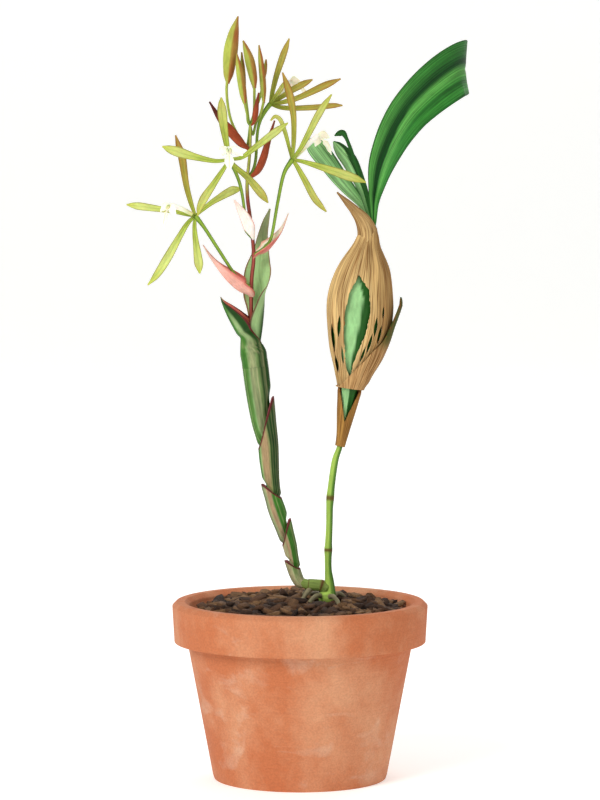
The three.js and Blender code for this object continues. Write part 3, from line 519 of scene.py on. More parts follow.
SHOOT = [
    [306, 770.5, 0, 13], [299, 766, 0, 15], [293, 752, 0, 16.5], [289.5, 735, -0.4, 16],
    [285.5, 716, -1, 18.5], [278.5, 695, -1.4, 20], [270.5, 672, -1.8, 22.5], [264.5, 652, -2, 21],
    [261.5, 632, -2, 21.5], [259, 606, -2, 25], [257, 580, -2, 27], [251, 551, -2, 31],
    [245, 511, -2, 34], [240, 470, -2, 34], [236.5, 446, -2, 27], [236, 420, -2, 20],
]

SHEATHS = [
    [0.15, 1.5, 2, 2.9, LEFT], [1.55, 3.3, 4, 5.4, RIGHT], [3.4, 6, 6.75, 7.9, LEFT],
    [6.1, 8.9, 9.7, 11.75, RIGHT], [9, 12.9, 13.72, 13.9, LEFT],
]

OUTER_LEAF = [
    [222.5, 446.5, -1.9, 42], [217, 437, -1.7, 60.48], [207, 418, -2.2, 43.68], [200, 402, -3, 24],
    [195, 387, -3.4, 3],
]

OUTER_FACINGS = [
    [1, -0.2, 0.1], [0.87, -0.2, 0.49], [0.8, -0.2, 0.6], [0.75, -0.2, 0.65], [0.7, -0.2, 0.7],
]

OUTER_FOLD = [0.9, 0.95, 1.12, 0.95, 0.3]

INNER_LEAF = [
    [243, 470, -2, 14], [246.5, 451, -2.1, 23], [249, 436, -1.9, 34], [251, 420, -1.6, 43],
    [252.5, 398, -0.8, 50], [250.5, 378, 0.6, 52], [246, 354, 2, 40], [248.5, 328, 2.6, 23],
    [251, 306, 2.6, 14], [255, 288, 2.4, 9], [260.5, 271, 2, 2.6],
]

INNER_FACINGS = [
    [-1, 0, 0], [-1, 0, 0], [-1, 0, 0], [-1, -0.1, 0], [-0.9, -0.45, 0], [-0.6, -0.8, 0], [-0.2, -1, 0],
    [0, -1, 0], [0, -1, 0], [0, -1, 0], [0, -1, 0],
]

INNER_FOLD = [0.9, 1.05, 1.1, 0.9, 0.75, 0.5, 0.4, 0.35, 0.3, 0.3]

STEM = [
    [240.5, 471, -2, 6], [237, 440, -2.1, 6], [235.6, 403, -2.6, 5.4], [236.3, 364, -2.8, 5.2],
    [239, 337, -2.6, 5], [237.6, 310, -2.4, 5], [234.3, 282, -2, 5], [231, 257, -1.6, 5],
    [230.5, 234, -1.2, 4.6], [233, 208, -0.8, 4.2], [234.6, 180, -0.4, 4], [234.4, 158, 0, 3.6],
]

# Bracts; tints are of the facing side, reverse, margin and tip, and reach is the tip's strength
BRACTS = {
    "bract_a": {
        "points": [
            [230, 383.5, -3.8, 26], [218, 378.5, -3.9, 44.2], [202, 363.5, -4.2, 37.7],
            [186, 341.5, -4.8, 14.3], [172, 318.4, -5, 3.12],
        ],
        "facings": [
            [0.35, 0, 0.93], [0.5, -0.1, 0.85], [0.66, -0.1, 0.75], [0.8, -0.1, 0.6], [0.8, -0.1, 0.6],
        ],
        "fold": [0.9, 0.92, 0.95, 0.85, 0.5],
        "tints": ["bract pink", "bract rose", "bract red", "bract blush"], "reach": 0.7, "glow": 0.45,
    },
    "bract_b": {
        "points": [
            [237.5, 308, -4.2, 7], [233, 297, -6, 17.5], [228, 284, -7, 16], [220, 270, -7.2, 9],
            [213.5, 258.8, -7, 2.4],
        ],
        "facings": [[0.2, 1, 0.2], [0.2, 1, 0.2]], "fold": [0.6, 0.3],
        "tints": ["bract white", "bract white", "bract pink", "bract blush"], "reach": 0.5, "glow": 0,
    },
    "bract_c": {
        "points": [
            [245, 331.5, -3, 14], [257, 326.5, -3.8, 28], [268, 313.5, -4.2, 20], [277, 298, -4.2, 8],
            [285.2, 276.9, -4, 2.4],
        ],
        "facings": [[-0.45, -0.5, 0.75], [-0.45, -0.5, 0.75]], "fold": [0.8, 0.92, 0.92, 0.7, 0.5],
        "tints": ["bract cream", "bract red", "bract pink", "bract blush"], "reach": 0.5, "glow": 0.45,
    },
    "bract_d": {
        "points": [
            [236, 229.5, -2.5, 6], [246, 220, -4.2, 12], [253, 204, -5.2, 12], [258, 185, -5, 9],
            [267, 154.7, -4.4, 2.4],
        ],
        "facings": [[0.3, -0.9, 0], [0.3, -0.9, 0]], "fold": [-0.8, -0.4],
        "tints": ["bract brown", "bract brown", "bract dark", "bract dark"], "reach": 0.5, "glow": 0,
    },
    "bract_e": {
        "points": [
            [230.6, 190.5, -2.2, 7], [222, 183, -3.6, 13], [208, 167, -4.6, 14], [195, 152, -4.6, 9],
            [181, 130, -4, 2.4],
        ],
        "facings": [[0, -1, 0.2], [0, -1, 0.2]], "fold": [-0.7, -0.3],
        "tints": ["bract brown", "bract red", "bract dark", "bract dark"], "reach": 0.95, "glow": 0,
    },
    "bract_f": {
        "points": [
            [239.6, 157, -1.6, 5], [241.5, 147, -2.2, 8.5], [243.5, 133, -2.6, 6], [246, 118, -2.6, 2.2],
        ],
        "facings": [[0.2, -1, 0], [0.2, -1, 0]], "fold": [-0.5, -0.3],
        "tints": ["bract brown", "bract red", "bract dark", "bract dark"], "reach": 0.5, "glow": 0,
    },
}

BUDS = {
    "bud_1": {
        "stalk": [
            [229.3, 189, 0.4], [217, 171, 1], [209.4, 155, 1.2], [205.3, 137.6, 1], [203.3, 117, 0.6],
            [204, 102, 0.2],
        ],
        "bud": [
            [204.8, 106, 0.2, 5], [206, 92, 0, 14], [209, 63, 0, 19], [213.5, 37, 0.2, 13],
            [218.5, 17.5, 0.4, 2.4],
        ],
    },
    "bud_2": {
        "stalk": [[231.5, 156, -0.9], [230.5, 146, -2.2], [227.8, 133.5, -3], [227, 128, -3]],
        "bud": [
            [227.2, 132.4, -3, 4.5], [225.5, 120, -3, 9.5], [222.5, 100, -3, 10.7], [219.5, 82, -3, 8],
            [217, 67, -3, 2.2],
        ],
    },
    "bud_3": {
        "stalk": [[232.5, 155, 1.1], [230.5, 141, 3.4], [227.5, 118, 5], [226.6, 112, 5]],
        "bud": [[227, 116, 5, 3.5], [225.5, 102, 5, 6.5], [224.2, 84, 5, 6.5], [223, 64, 5, 2.2]],
    },
    "bud_4": {
        "stalk": [[238.3, 155, -0.3], [239.8, 137, 0.3], [240, 118, 0.4], [240, 108, 0.4]],
        "bud": [
            [240.2, 112, 0.4, 5], [238.5, 98, 0.4, 11], [234, 76, 0.4, 13], [229, 60, 0.4, 8],
            [225.2, 49.3, 0.4, 2.4],
        ],
    },
    "bud_5": {
        "stalk": [[238, 173, 0.6], [242, 158, 1.8], [248, 146, 2.4], [252, 130, 2.6], [252.3, 126, 2.6]],
        "bud": [
            [252.2, 131, 2.6, 4], [251.8, 114, 2.6, 8], [250.2, 92, 2.6, 8.5], [248, 72, 2.6, 6.5],
            [246, 54.9, 2.6, 2.2],
        ],
    },
    "bud_6": {
        "stalk": [[236.5, 154, 1.2], [240, 143, 4.2], [248, 120, 6.4], [252, 98, 6.6]],
        "bud": [[251.6, 102, 6.6, 3.4], [253, 92, 6.6, 6], [254.5, 82, 6.6, 5], [255.3, 73.3, 6.6, 2.2]],
    },
}

# Flowers; tepal depths count from the hub, and flush tells how brown each tepal is
FLOWERS = {
    "flower_a": {
        "hub": [162.5, 280, -7], "out": [-0.75, -0.6, 0.28], "down": [-0.35, -0.15, -1],
        "flush": [1.1, 0.2, 0.05, 0.15, 0.1],
        "column": [[158.5, 277.5, -1.4], [146, 271, -3], [130, 265, -4]],
        "stalk": [
            [223.5, 367, -3.9, 3.8], [211.3, 353, -4.5, 4.2], [190, 320, -6, 4.6], [174, 295, -6.8, 5],
        ],
        "tepals": [
            [
                [156, 260, 0, 7], [150.5, 238, 0.4, 8.5], [145, 203, 1.4, 11], [140.5, 188, 2.4, 8],
                [136.3, 174, 3.4, 2.2],
            ],
            [
                [172, 272, 0.8, 5.5], [186, 261, 2.4, 8], [208, 248, 4.6, 12], [216, 245.5, 5.4, 9],
                [224, 243.5, 6, 2.2],
            ],
            [
                [153, 289, -0.6, 6.5], [143, 305, -1.2, 8.5], [126, 335, -1.6, 12], [112, 357, -1.2, 9.5],
                [99.8, 371, -0.6, 2.2],
            ],
            [
                [161.5, 295, -0.8, 6], [163.5, 315, -1.8, 8.5], [167, 340, -3, 12.5], [168, 348, -3.4, 9],
                [168.5, 355.5, -3.6, 2.2],
            ],
            [
                [150, 278, 1, 5], [128, 273, 3, 7], [92, 268, 5.6, 10.7], [80, 266.5, 6.4, 8],
                [70.7, 265.4, 7, 2.2],
            ],
        ],
    },
    "flower_b": {
        "hub": [208.4, 206, -17], "out": [0, -1, 0.25], "down": [0.04, -0.25, -1],
        "flush": [0.35, 0.2, 0.15, 0.55, 0.3],
        "column": [[208.4, 205, -1.3], [208.3, 199, -4.4], [208, 191, -7.5]],
        "stalk": [
            [231.3, 303, -2.9, 4], [228, 296, -3.2, 4], [226.5, 268, -6, 4], [222, 240, -11, 4.4],
            [215, 220, -15, 5],
        ],
        "tepals": [
            [
                [204.5, 185, -0.4, 8], [201, 163, -0.4, 11.5], [199, 145, 0.2, 13], [198, 134, 1, 9],
                [197.7, 125.3, 1.8, 2.2],
            ],
            [
                [190, 208, -0.4, 6], [165, 203, -0.6, 9.5], [144, 197, 0, 14], [130, 192.5, 1, 10],
                [120.5, 189, 2, 2.2],
            ],
            [
                [225, 203, -0.6, 6], [243, 189.5, -0.8, 8.5], [266, 172, 0, 10.5], [276, 164.5, 1, 7.5],
                [284.5, 158.5, 2, 2.2],
            ],
            [
                [217, 216.5, -0.2, 7], [231.6, 229, -0.2, 9], [246.8, 246.8, 0.8, 11.5],
                [253.5, 255.5, 1.6, 8.5], [258.4, 262.4, 2.4, 2.2],
            ],
            [
                [199, 221, -0.4, 6.5], [187, 239, -0.4, 9], [175.5, 256, 0.4, 11.5],
                [169.5, 268.5, 1.2, 8.5], [166.4, 279.8, 2, 2.2],
            ],
        ],
    },
    "flower_c": {
        "hub": [290, 206, -9], "out": [0.62, 0.6, 0.45], "down": [0.62, 0.1, -0.78],
        "flush": [1, 0.3, 0.4, 0.3, 0.5],
        "column": [[293.2, 203.5, 1.1], [308, 189, 5.2], [324, 173.5, 7.6]],
        "stalk": [
            [250, 324.5, -4.3, 3.8], [254.5, 320, -4.9, 3.8], [262.5, 308, -5.5, 4],
            [271, 262, -7.4, 4.4], [279, 225, -9, 5],
        ],
        "tepals": [
            [
                [292, 182, -0.4, 6.5], [292, 152, -0.4, 8], [288.3, 128, 0.2, 10.5], [283.5, 110, 1, 9],
                [277.3, 92, 2, 2.2],
            ],
            [
                [300, 193, -0.4, 6], [309, 177, -0.4, 8], [324, 148, 0.4, 10], [333, 133.5, 1.2, 8],
                [341.8, 120.6, 2, 2.2],
            ],
            [
                [286, 190, 0.6, 5], [280, 168, 1.2, 6], [274, 153.5, 1.8, 6], [267.5, 149.8, 2.4, 5],
                [261.5, 155, 2.8, 2.2],
            ],
            [
                [305, 209, 0, 6], [330, 216.5, 0, 9.5], [360, 226.5, 1, 13], [375, 231.5, 2, 9.5],
                [387, 236, 3, 2.2],
            ],
            [
                [297, 216, -0.4, 6.5], [307, 234, -0.6, 8.5], [319, 256, 0, 9.5], [327.5, 266.5, 0.6, 7],
                [335, 274.5, 1.2, 2.2],
            ],
        ],
    },
    "flower_d": {
        "hub": [260.5, 132, 12], "out": [0.55, 0.5, 0.66], "down": [0.75, 0.1, -0.5],
        "flush": [0.8, 0.4, 0.9, 1, 0.95], "column": [[264, 128, 1.5], [275, 115, 4.2], [287, 101, 5.6]],
        "stalk": [
            [237, 222, 0.3, 4], [241.6, 206, 1.2, 4], [243.6, 172, 5.4, 4], [247, 155, 8.4, 4.6],
            [254, 141, 11, 6],
        ],
        "tepals": [
            [
                [263.5, 116, 0.2, 6.5], [269, 94, 0, 8], [276.5, 71, -0.6, 9.5], [281.5, 57.5, -1.2, 7.5],
                [286, 45.2, -1.8, 2.2],
            ],
            [[266, 124, -1.6, 5.5], [271.5, 117, -3.4, 6.5], [277, 108.5, -5, 6], [281, 101, -6, 2.2]],
            [
                [272, 125, 0.6, 6], [287, 115, 0.6, 8.5], [301.7, 107, 0, 9.5], [310, 102.8, -0.4, 7],
                [317, 99.6, -0.8, 2.2],
            ],
            [
                [278, 129.5, -1, 6.5], [300, 123, -2, 8], [329.4, 109.5, -3.4, 10], [342, 104, -4.2, 8],
                [354.3, 99, -5, 2.2],
            ],
            [
                [275, 136.5, 0.4, 6.5], [296, 137.5, 0.6, 7.5], [325, 136, 0, 8], [345.7, 134, -0.8, 7],
                [357, 134, -1.4, 2.2],
            ],
        ],
    },
}


# Unglazed clay with fine grit, turning lines, a limey bloom and darker damp patches
def make_clay():
    material, tree, shader = new_material("unglazed clay", Roughness=0.88)
    place = shade(tree, "ShaderNodeNewGeometry").outputs["Position"]
    cloud = noise(tree, place, (34, 34, 26), detail=5.0, roughness=0.6)
    patch = noise(tree, place, (60, 60, 90), detail=4.0, distortion=0.6)
    grit = noise(tree, place, (1500, 1500, 1500), detail=2.0)
    turning = noise(tree, place, (6, 6, 900), detail=2.0)
    colour = shade(tree, "ShaderNodeRGB").outputs["Color"]
    colour.default_value = (*tone("clay"), 1)
    colour = mixed_in(tree, colour, "clay pale", spread(tree, cloud, 0.42, 0.66, 0.0, 0.7))
    colour = mixed_in(tree, colour, "mineral", spread(tree, patch, 0.58, 0.78, 0.0, 0.3))
    colour = darkened(tree, colour, spread(tree, grit, 0.35, 0.65, 0.9, 1.06))
    tree.links.new(colour, shader.inputs["Base Color"])
    lines = bump(tree, turning, 0.25 * MM)
    tree.links.new(bump(tree, grit, 0.12 * MM, normal=lines), shader.inputs["Normal"])
    return material


# Wall of the pot from the middle of its underside, over the rim and down to its floor
POT_WALL = 4
POT_FLOOR = 5
POT_FOOT = 31
RIM_BAND = 15
RIM_STEP = 2
DRAIN_RADIUS = 3.5
DRAIN_CIRCLE = 15
DRAIN_HOLES = 3
POT_SIDES = 144
POT_EDGE = 0.7 * MM


def pot_profile():
    rim, top = POT_RADIUS / MM, POT_HEIGHT / MM
    inside = rim - RIM_STEP - POT_WALL
    return [
        (0, 0), (POT_FOOT, 0), (POT_FOOT + 0.5, 1.5), (rim - RIM_STEP - 3.5, top - RIM_BAND),
        (rim - 0.75, top - RIM_BAND + 0.5), (rim, top - 1.5), (rim - 1.5, top), (inside + 1.5, top),
        (inside, top - 1.5), (POT_FOOT - POT_WALL, POT_FLOOR), (0, POT_FLOOR),
    ]


def apply_modifiers(item):
    bpy.context.view_layer.update()
    shown = item.evaluated_get(bpy.context.evaluated_depsgraph_get())
    item.modifiers.clear()
    item.data = bpy.data.meshes.new_from_object(shown)


def add_cut(item, cutter):
    cut = item.modifiers.new("cut", "BOOLEAN")
    cut.object = cutter
    cut.solver = "EXACT"


def make_pot():
    shell = bmesh.new()
    wall = [shell.verts.new((r * MM, 0, z * MM)) for r, z in pot_profile()]
    edges = [shell.edges.new(pair) for pair in zip(wall, wall[1:])]
    bmesh.ops.spin(
        shell, geom=wall + edges, cent=(0, 0, 0), axis=(0, 0, 1), angle=2 * math.pi,
        steps=POT_SIDES, use_merge=True,
    )
    bmesh.ops.remove_doubles(shell, verts=shell.verts, dist=0.01 * MM)
    bmesh.ops.recalc_face_normals(shell, faces=shell.faces)
    pot = add_shell("clay_pot", shell)
    drills = [make_drill(angle) for angle in turns(DRAIN_HOLES)]
    for drill in drills:
        add_cut(pot, drill)
    soften = pot.modifiers.new("rounded edges", "BEVEL")
    soften.width = POT_EDGE
    soften.segments = 3
    soften.limit_method = "ANGLE"
    soften.angle_limit = math.radians(25)
    apply_modifiers(pot)
    for drill in drills:
        bpy.data.objects.remove(drill)
    pot.data.shade_smooth()
    pot.data.materials.clear()
    pot.data.materials.append(make_clay())
    return settle(pot, "pot")


def make_drill(angle):
    shell = bmesh.new()
    bmesh.ops.create_cone(
        shell, cap_ends=True, segments=24, radius1=DRAIN_RADIUS * MM, radius2=DRAIN_RADIUS * MM,
        depth=4 * POT_FLOOR * MM,
    )
    drill = add_shell("drill", shell)
    drill.location = (DRAIN_CIRCLE * MM * math.cos(angle), DRAIN_CIRCLE * MM * math.sin(angle), 0)
    return drill


# Bark mix: a dark lumpy mound under a loose layer of chips
CHIPS = 620
MOUND_RISE = 4.6 * MM
MOUND_EDGE_DROP = 4 * MM
SOIL_DEPTH = 20 * MM
KNOB_HOLLOW = 1.6 * MM


def soil_radius():
    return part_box("growing_medium")[1].x - 0.2 * MM


# How near a place of the ground is to the foot of the old shoot, from 0 to 1
def near_plant(x, y):
    return np.exp(-(((x - 8 * MM) / (9 * MM)) ** 2) - ((y + 3 * MM) / (7 * MM)) ** 2)


def soil_height(x, y):
    share = np.minimum(1, np.hypot(x, y) / soil_radius())
    lumps = np.sin(620 * x + 1.3) * np.cos(550 * y) + 0.6 * np.sin(900 * y - 400 * x)
    mound = MOUND_RISE * (1 - share**2) + 0.9 * MM * lumps * (1 - share**8)
    return POT_HEIGHT - MOUND_EDGE_DROP + mound - KNOB_HOLLOW * near_plant(x, y)


def make_bark():
    material, tree, shader = new_material("bark mix", Roughness=0.93)
    grain = attribute(tree, "grain", "Vector")
    fibre = noise(tree, grain, (2.2, 2.2, 0.5), detail=4.0, roughness=0.65)
    crumb = noise(tree, grain, (5, 5, 5), detail=3.0)
    colour = attribute(tree, "tint", "Color")
    colour = darkened(tree, colour, spread(tree, fibre, 0.3, 0.7, 0.55, 1.3))
    tree.links.new(colour, shader.inputs["Base Color"])
    rough = bump(tree, fibre, 0.5 * MM)
    tree.links.new(bump(tree, crumb, 0.25 * MM, normal=rough), shader.inputs["Normal"])
    return material


# Matrix that turns by an angle round the axis with the given number
def rotation(axis, angle):
    first, second = (axis + 1) % 3, (axis + 2) % 3
    matrix = np.eye(3)
    matrix[first, first] = matrix[second, second] = math.cos(angle)
    matrix[second, first] = math.sin(angle)
    matrix[first, second] = -math.sin(angle)
    return matrix


# Rough block with knocked corners, its grain along its longest side
def add_chip(skin, place, size, turn, tilt, lean, tint):
    shell = bmesh.new()
    bmesh.ops.create_cube(shell, size=1)
    bmesh.ops.subdivide_edges(shell, edges=shell.edges, cuts=1, use_grid_fill=True)
    corners = np.array([vertex.co for vertex in shell.verts])
    faces = [[vertex.index for vertex in face.verts] for face in shell.faces]
    shell.free()
    rounded = corners / (1 + 0.5 * (np.sum(corners**2, axis=1)[:, None] - 0.25))
    shaped = (rounded + chance.uniform(-0.09, 0.09, rounded.shape)) * size
    turned = rotation(2, turn) @ rotation(1, tilt) @ rotation(0, lean)
    points = shaped @ turned.T + place
    grain = (shaped[:, [1, 2, 0]] + chance.uniform(-50, 50, 3) * MM) / MM
    skin.add(points, faces, grain, tint)


def make_medium():
    skin = Skin()
    radius = soil_radius()
    angles = turns(72)
    shares = np.linspace(1, 0.02, 16)
    x = radius * np.outer(shares, np.cos(angles))
    y = radius * np.outer(shares, np.sin(angles))
    mound = np.stack([x, y, soil_height(x, y) - 0.8 * MM], axis=-1)
    bottom = mound[:1].copy()
    bottom[..., 2] -= SOIL_DEPTH
    rings = np.concatenate([bottom, mound])
    skin.add(rings, tube_faces(*rings.shape[:2]), rings / MM, np.broadcast_to(tone("soil"), rings.shape))
    golden = math.pi * (3 - math.sqrt(5))
    for number in range(CHIPS):
        distance = (radius - 2.6 * MM) * math.sqrt((number + 0.5) / CHIPS)
        angle = number * golden + chance.uniform(-0.1, 0.1)
        x, y = distance * math.cos(angle), distance * math.sin(angle)
        lift = chance.uniform(-0.9, 0.7) * MM - 0.9 * MM * near_plant(x, y)
        place = np.array([x, y, float(soil_height(x, y)) + lift])
        size = np.array([chance.uniform(3.2, 7.5), chance.uniform(2, 4), chance.uniform(1, 2)]) * MM
        warm = chance.uniform(0, 1)
        tint = between(between(tone("bark dark"), tone("bark"), 2 * warm), tone("bark pale"), 2 * warm - 1.1)
        turn, tilt, lean = chance.uniform(0, math.pi), *chance.normal(0, 0.3, 2)
        add_chip(skin, place, size * (1 - 0.35 * near_plant(x, y)), turn, tilt, lean, tint)
    return settle(skin.piece("bark_mix", make_bark()), "growing_medium")


# Radii in millimetres along the rhizome, its cut knob and each root
RHIZOME_RADII = [1.6, 1.8, 2.1, 2.1, 2.1, 2]
KNOB_RADII = [1.4, 2.5, 2.6, 1.7]
ROOT_RADII = [1, 0.8, 0.7, 0.5]
# Place along the rhizome and breadth of each brown scar
RHIZOME_SCARS = [(0.29, 0.015), (0.79, 0.05)]


def make_rhizome():
    skin = Skin()
    material = tissue("rhizome skin", 0.6, fibres=2.2, streaks=0.25, mottle=0.3, relief=0.2 * MM)
    t = np.linspace(0, 1, 61)
    radius = smooth(RHIZOME_RADII, t) * MM
    scars = sum(np.exp(-(((t - place) / breadth) ** 2)) for place, breadth in RHIZOME_SCARS)
    tints = between(tone("rhizome"), tone("scar brown"), 0.95 * scars)
    add_tube(skin, spots(RHIZOME), t, radius + 0.16 * MM * scars, tints)
    knob_tints = between(tone("knob green"), tone("rhizome"), np.abs(2 * t - 1) ** 4)
    add_tube(skin, spots(KNOB), t, smooth(KNOB_RADII, t) * MM, knob_tints)
    for number, places in enumerate(ROOTS):
        radius = smooth(ROOT_RADII, t) * (1 + 0.12 * wander(t, 12, number)) * MM
        root_tints = between(tone("root"), tone("root tip"), t**3 + 0.3 * wander(t, 9, number + 50))
        add_tube(skin, spots(places), t, radius, root_tints, sides=12)
    return settle(skin.piece("rhizome_with_roots", material), "rhizome_and_roots")


# Radii of the old cane in millimetres at the places of its route
CANE_THIN = [2.1, 1.7, 1.25, 1.3, 1.2, 1.25, 1.2, 1, 1.15]
CLUB_INSIDE = [25, 32, 46, 69, 85, 85, 67, 34]
CLUB_FLAT = 0.78
SHEATH_ROOM = 1.3
CANE_SCAR_ROWS = (725, 655)
CANE_SIDES = 80
# Rows of the picture where the bulb's dark side begins, with that place across its width
BULB_SHADE = [(358, -0.22), (388, 0.06), (412, 0.02), (476, -0.16), (509, -0.04), (556, 0.1)]
BULB_LEFT_SHADE = -0.55


# Share of a curve at a picture row, or at each of several rows
def share_at_row(places, row):
    rows = np.array([place[1] for place in places])
    return np.interp(-row, -rows, np.linspace(0, 1, len(rows)))


def make_cane():
    skin = Skin()
    material = tissue("cane skin", 0.45, fibres=3, streaks=0.16, mottle=0.16, relief=0.1 * MM, soft=0.05)
    t = np.linspace(0, 1, 241)
    inside = [pixels / 2 * PIXEL / MM - SHEATH_ROOM for pixels in CLUB_INSIDE]
    radius = smooth([*CANE_THIN, *inside, 1], t) * MM
    from_scars = [t - share_at_row(CANE, row) for row in CANE_SCAR_ROWS]
    scars = sum(np.exp(-((gap / 0.005) ** 4)) for gap in from_scars)
    swelling = sum(np.exp(-((gap / 0.012) ** 2)) for gap in from_scars)
    angles = turns(CANE_SIDES)
    club = ease((t - 0.42) / 0.1)[:, None]
    ribs = 0.12 * MM * club * np.cos(9 * angles)
    shape = (radius + 0.18 * MM * swelling)[:, None] + ribs
    # Painted light and shade: the thin cane is paler on its left and darker towards its right; the club has
    # painted shade on its right side from BULB_SHADE and, above row 500, painted shade on its far left
    right = np.cos(angles)[None, :]
    shaded = ease((right + 0.1) / 0.5)
    thin = between(tone("cane pale"), tone("cane"), 0.15 + 0.85 * shaded + 0.2 * wander(t, 20, 3)[:, None])
    thin = between(thin, tone("cane dark"), 0.9 * ease((right - 0.5) / 0.35) + 0 * shaded)
    rows = np.interp(t, np.linspace(0, 1, len(CANE)), [place[1] for place in CANE])
    edge = np.interp(rows, *zip(*BULB_SHADE))[:, None]
    free = (rows < 500)[:, None]
    swollen_shade = ease((right - edge) / 0.06) + free * ease((BULB_LEFT_SHADE - right) / 0.08)
    swollen = between(tone("bulb pale"), tone("bulb dark"), swollen_shade)
    tints = thin + (swollen - thin) * club[..., None]
    tints = tints + (tone("scar brown") - tints) * 0.9 * scars[:, None, None]
    add_tube(skin, spots(CANE), t, shape, tints, sides=CANE_SIDES, flat=CLUB_FLAT)
    return settle(skin.piece("pseudobulb", material), "old_pseudobulb")


# A sheath round a curve between its foot and a mouth that may slant, with a thin wall
def sheath_rings(points, foot, mouth, radius_at, angles, rows, flat):
    shares = np.linspace(0, 1, rows + 1)
    t = foot + np.outer(shares, mouth - foot)
    flat_t = t.ravel()
    right, far = across(points, flat_t)
    radius = radius_at(t, angles[None, :] + 0 * t)
    sideways = (radius * np.cos(angles)).reshape(-1, 1) * right
    outward = (radius * flat * np.sin(angles)).reshape(-1, 1) * far
    rings = flow(points, flat_t) + sideways + outward
    return t, rings.reshape(*t.shape, 3)


def near(angles, side):
    return (1 + np.cos(angles - side)) / 2


# A dry sheath round the club between a foot row and a mouth, open at both ends
def add_sheath(skin, foot, mouth, radius_at, paint, rows=40, sides=64, flat=0.85, wall=0.6 * MM):
    points = CLUB_POINTS
    angles = turns(sides)
    lower, upper = club_share(foot), club_share(mouth(angles))

    def inside_at(t, around):
        return radius_at(t, around) - wall

    t, outer = sheath_rings(points, lower, upper, radius_at, angles, rows, flat)
    _, inner = sheath_rings(points, lower, upper, inside_at, angles, rows, flat)
    rings = np.concatenate([outer, inner[::-1]])
    index = np.arange(len(rings) * sides).reshape(len(rings), sides)
    faces = grid_faces(*rings.shape[:2], closed=True)
    foot_ring = [index[-1], np.roll(index[-1], -1), np.roll(index[0], -1), index[0]]
    faces += np.stack(foot_ring, axis=-1).tolist()
    length = lengths(points, np.linspace(0, 1, 200))[-1] / MM
    broad = float(np.mean(radius_at(t, angles[None, :] + 0 * t))) / MM
    grain = np.stack([broad * np.cos(angles) + 0 * t, broad * np.sin(angles) + 0 * t, length * t], axis=-1)
    outside, inside = paint(t, angles[None, :] + 0 * t)
    skin.add(rings, faces, np.concatenate([grain, grain[::-1]]), np.concatenate([outside, inside[::-1]]))


CLUB_POINTS = spots(CLUB)
CLUB_WIDTHS = widths_of(CLUB)


def club_share(row):
    return share_at_row(CLUB, row)


def club_radius(t):
    return smooth(CLUB_WIDTHS, t) / 2


# Dry sheath tissue: long raised fibres, brown threads and a dull surface
def papery(name, fibres, relief):
    material, tree, shader = new_material(name, Roughness=0.85, Specular_IOR_Level=0.2)
    grain = attribute(tree, "grain", "Vector")
    fine = noise(tree, grain, (fibres, fibres, 0.035 * fibres), detail=3.0, distortion=0.15)
    threads = noise(tree, grain, (1.6 * fibres, 1.6 * fibres, 0.03 * fibres), detail=1.0)
    broad = noise(tree, grain, (0.5, 0.5, 0.05), detail=4.0)
    colour = attribute(tree, "tint", "Color")
    colour = mixed_in(tree, colour, "papery brown", spread(tree, broad, 0.45, 0.7, 0.0, 0.6))
    colour = mixed_in(tree, colour, "papery brown", spread(tree, threads, 0.54, 0.62, 0.0, 0.85))
    colour = darkened(tree, colour, spread(tree, fine, 0.3, 0.66, 0.6, 1.15))
    tree.links.new(colour, shader.inputs["Base Color"])
    tree.links.new(bump(tree, fine, relief), shader.inputs["Normal"])
    return material


# Rows of the picture at the foot and the mouth of each dry sheath
LOWER_FOOT, LOWER_MOUTH = 586, 506
UPPER_FOOT, UPPER_MOUTH = 507, 302
WRAP_FOOT, WRAP_MOUTH = 509, 508
# Rows by which the lower sheath is notched in front, and by which the wrapping one rises
LOWER_NOTCH = 48
WRAP_RISE = 83
WRAP_TIP_RISE = 46


def make_lower_sheath():
    skin = Skin()

    def mouth(angles):
        front = np.maximum(0, 1 - np.abs(np.sin((angles - 1.5 * math.pi) / 2)) / 0.62)
        ragged = 0.6 * np.sin(17 * angles) + 0.5 * np.sin(29 * angles + 1)
        return LOWER_MOUTH + LOWER_NOTCH * front + ragged * ease(front / 0.2)

    def paint(t, angles):
        edge = ease((t - club_share(545)) / (club_share(512) - club_share(545)))
        worn = 0.55 * edge + 0.3 * np.cos(angles * 5 + 9 * t)
        outside = between(tone("fibrous"), tone("fibrous dark"), worn)
        return outside, between(tone("fibrous dark"), tone("fibrous"), 0.2 + 0 * t)

    def radius_at(t, angles):
        tucked = ease((t - club_share(516)) / (club_share(LOWER_MOUTH) - club_share(516)))
        return club_radius(t) - (0.15 + 0.5 * tucked) * MM

    add_sheath(skin, LOWER_FOOT, mouth, radius_at, paint, flat=0.9)
    piece = skin.piece("lower_sheath", papery("fibrous sheath", 2.6, 0.22 * MM))
    return settle(piece, "old_sheath_lower")


# Depth in millimetres at which the cutters begin, well in front of the plant
CUTTER_FRONT = -40


# Solid block behind a picture outline, from the front of the plant to its middle
def make_cutter(name, outline):
    shell = bmesh.new()
    front = [shell.verts.new(spot((column, row, CUTTER_FRONT))) for column, row in outline]
    face = shell.faces.new(front)
    pushed = bmesh.ops.extrude_face_region(shell, geom=[face])
    for item in pushed["geom"]:
        if isinstance(item, bmesh.types.BMVert):
            item.co.y = 0
    bmesh.ops.recalc_face_normals(shell, faces=shell.faces)
    return add_shell(name, shell)


# A closed outline whose sides are torn into teeth, with its corners kept
def torn(outline, step, tear, seed):
    source = np.random.default_rng(seed)
    places = []
    for here, there in zip(outline, [*outline[1:], outline[0]]):
        here, there = np.array(here, float), np.array(there, float)
        count = max(2, int(np.linalg.norm(there - here) / step))
        for number in range(count):
            share = number / count
            tooth = source.uniform(-tear, tear) * math.sin(math.pi * share)
            places.append(here + (there - here) * share + (tooth, 0))
    return places


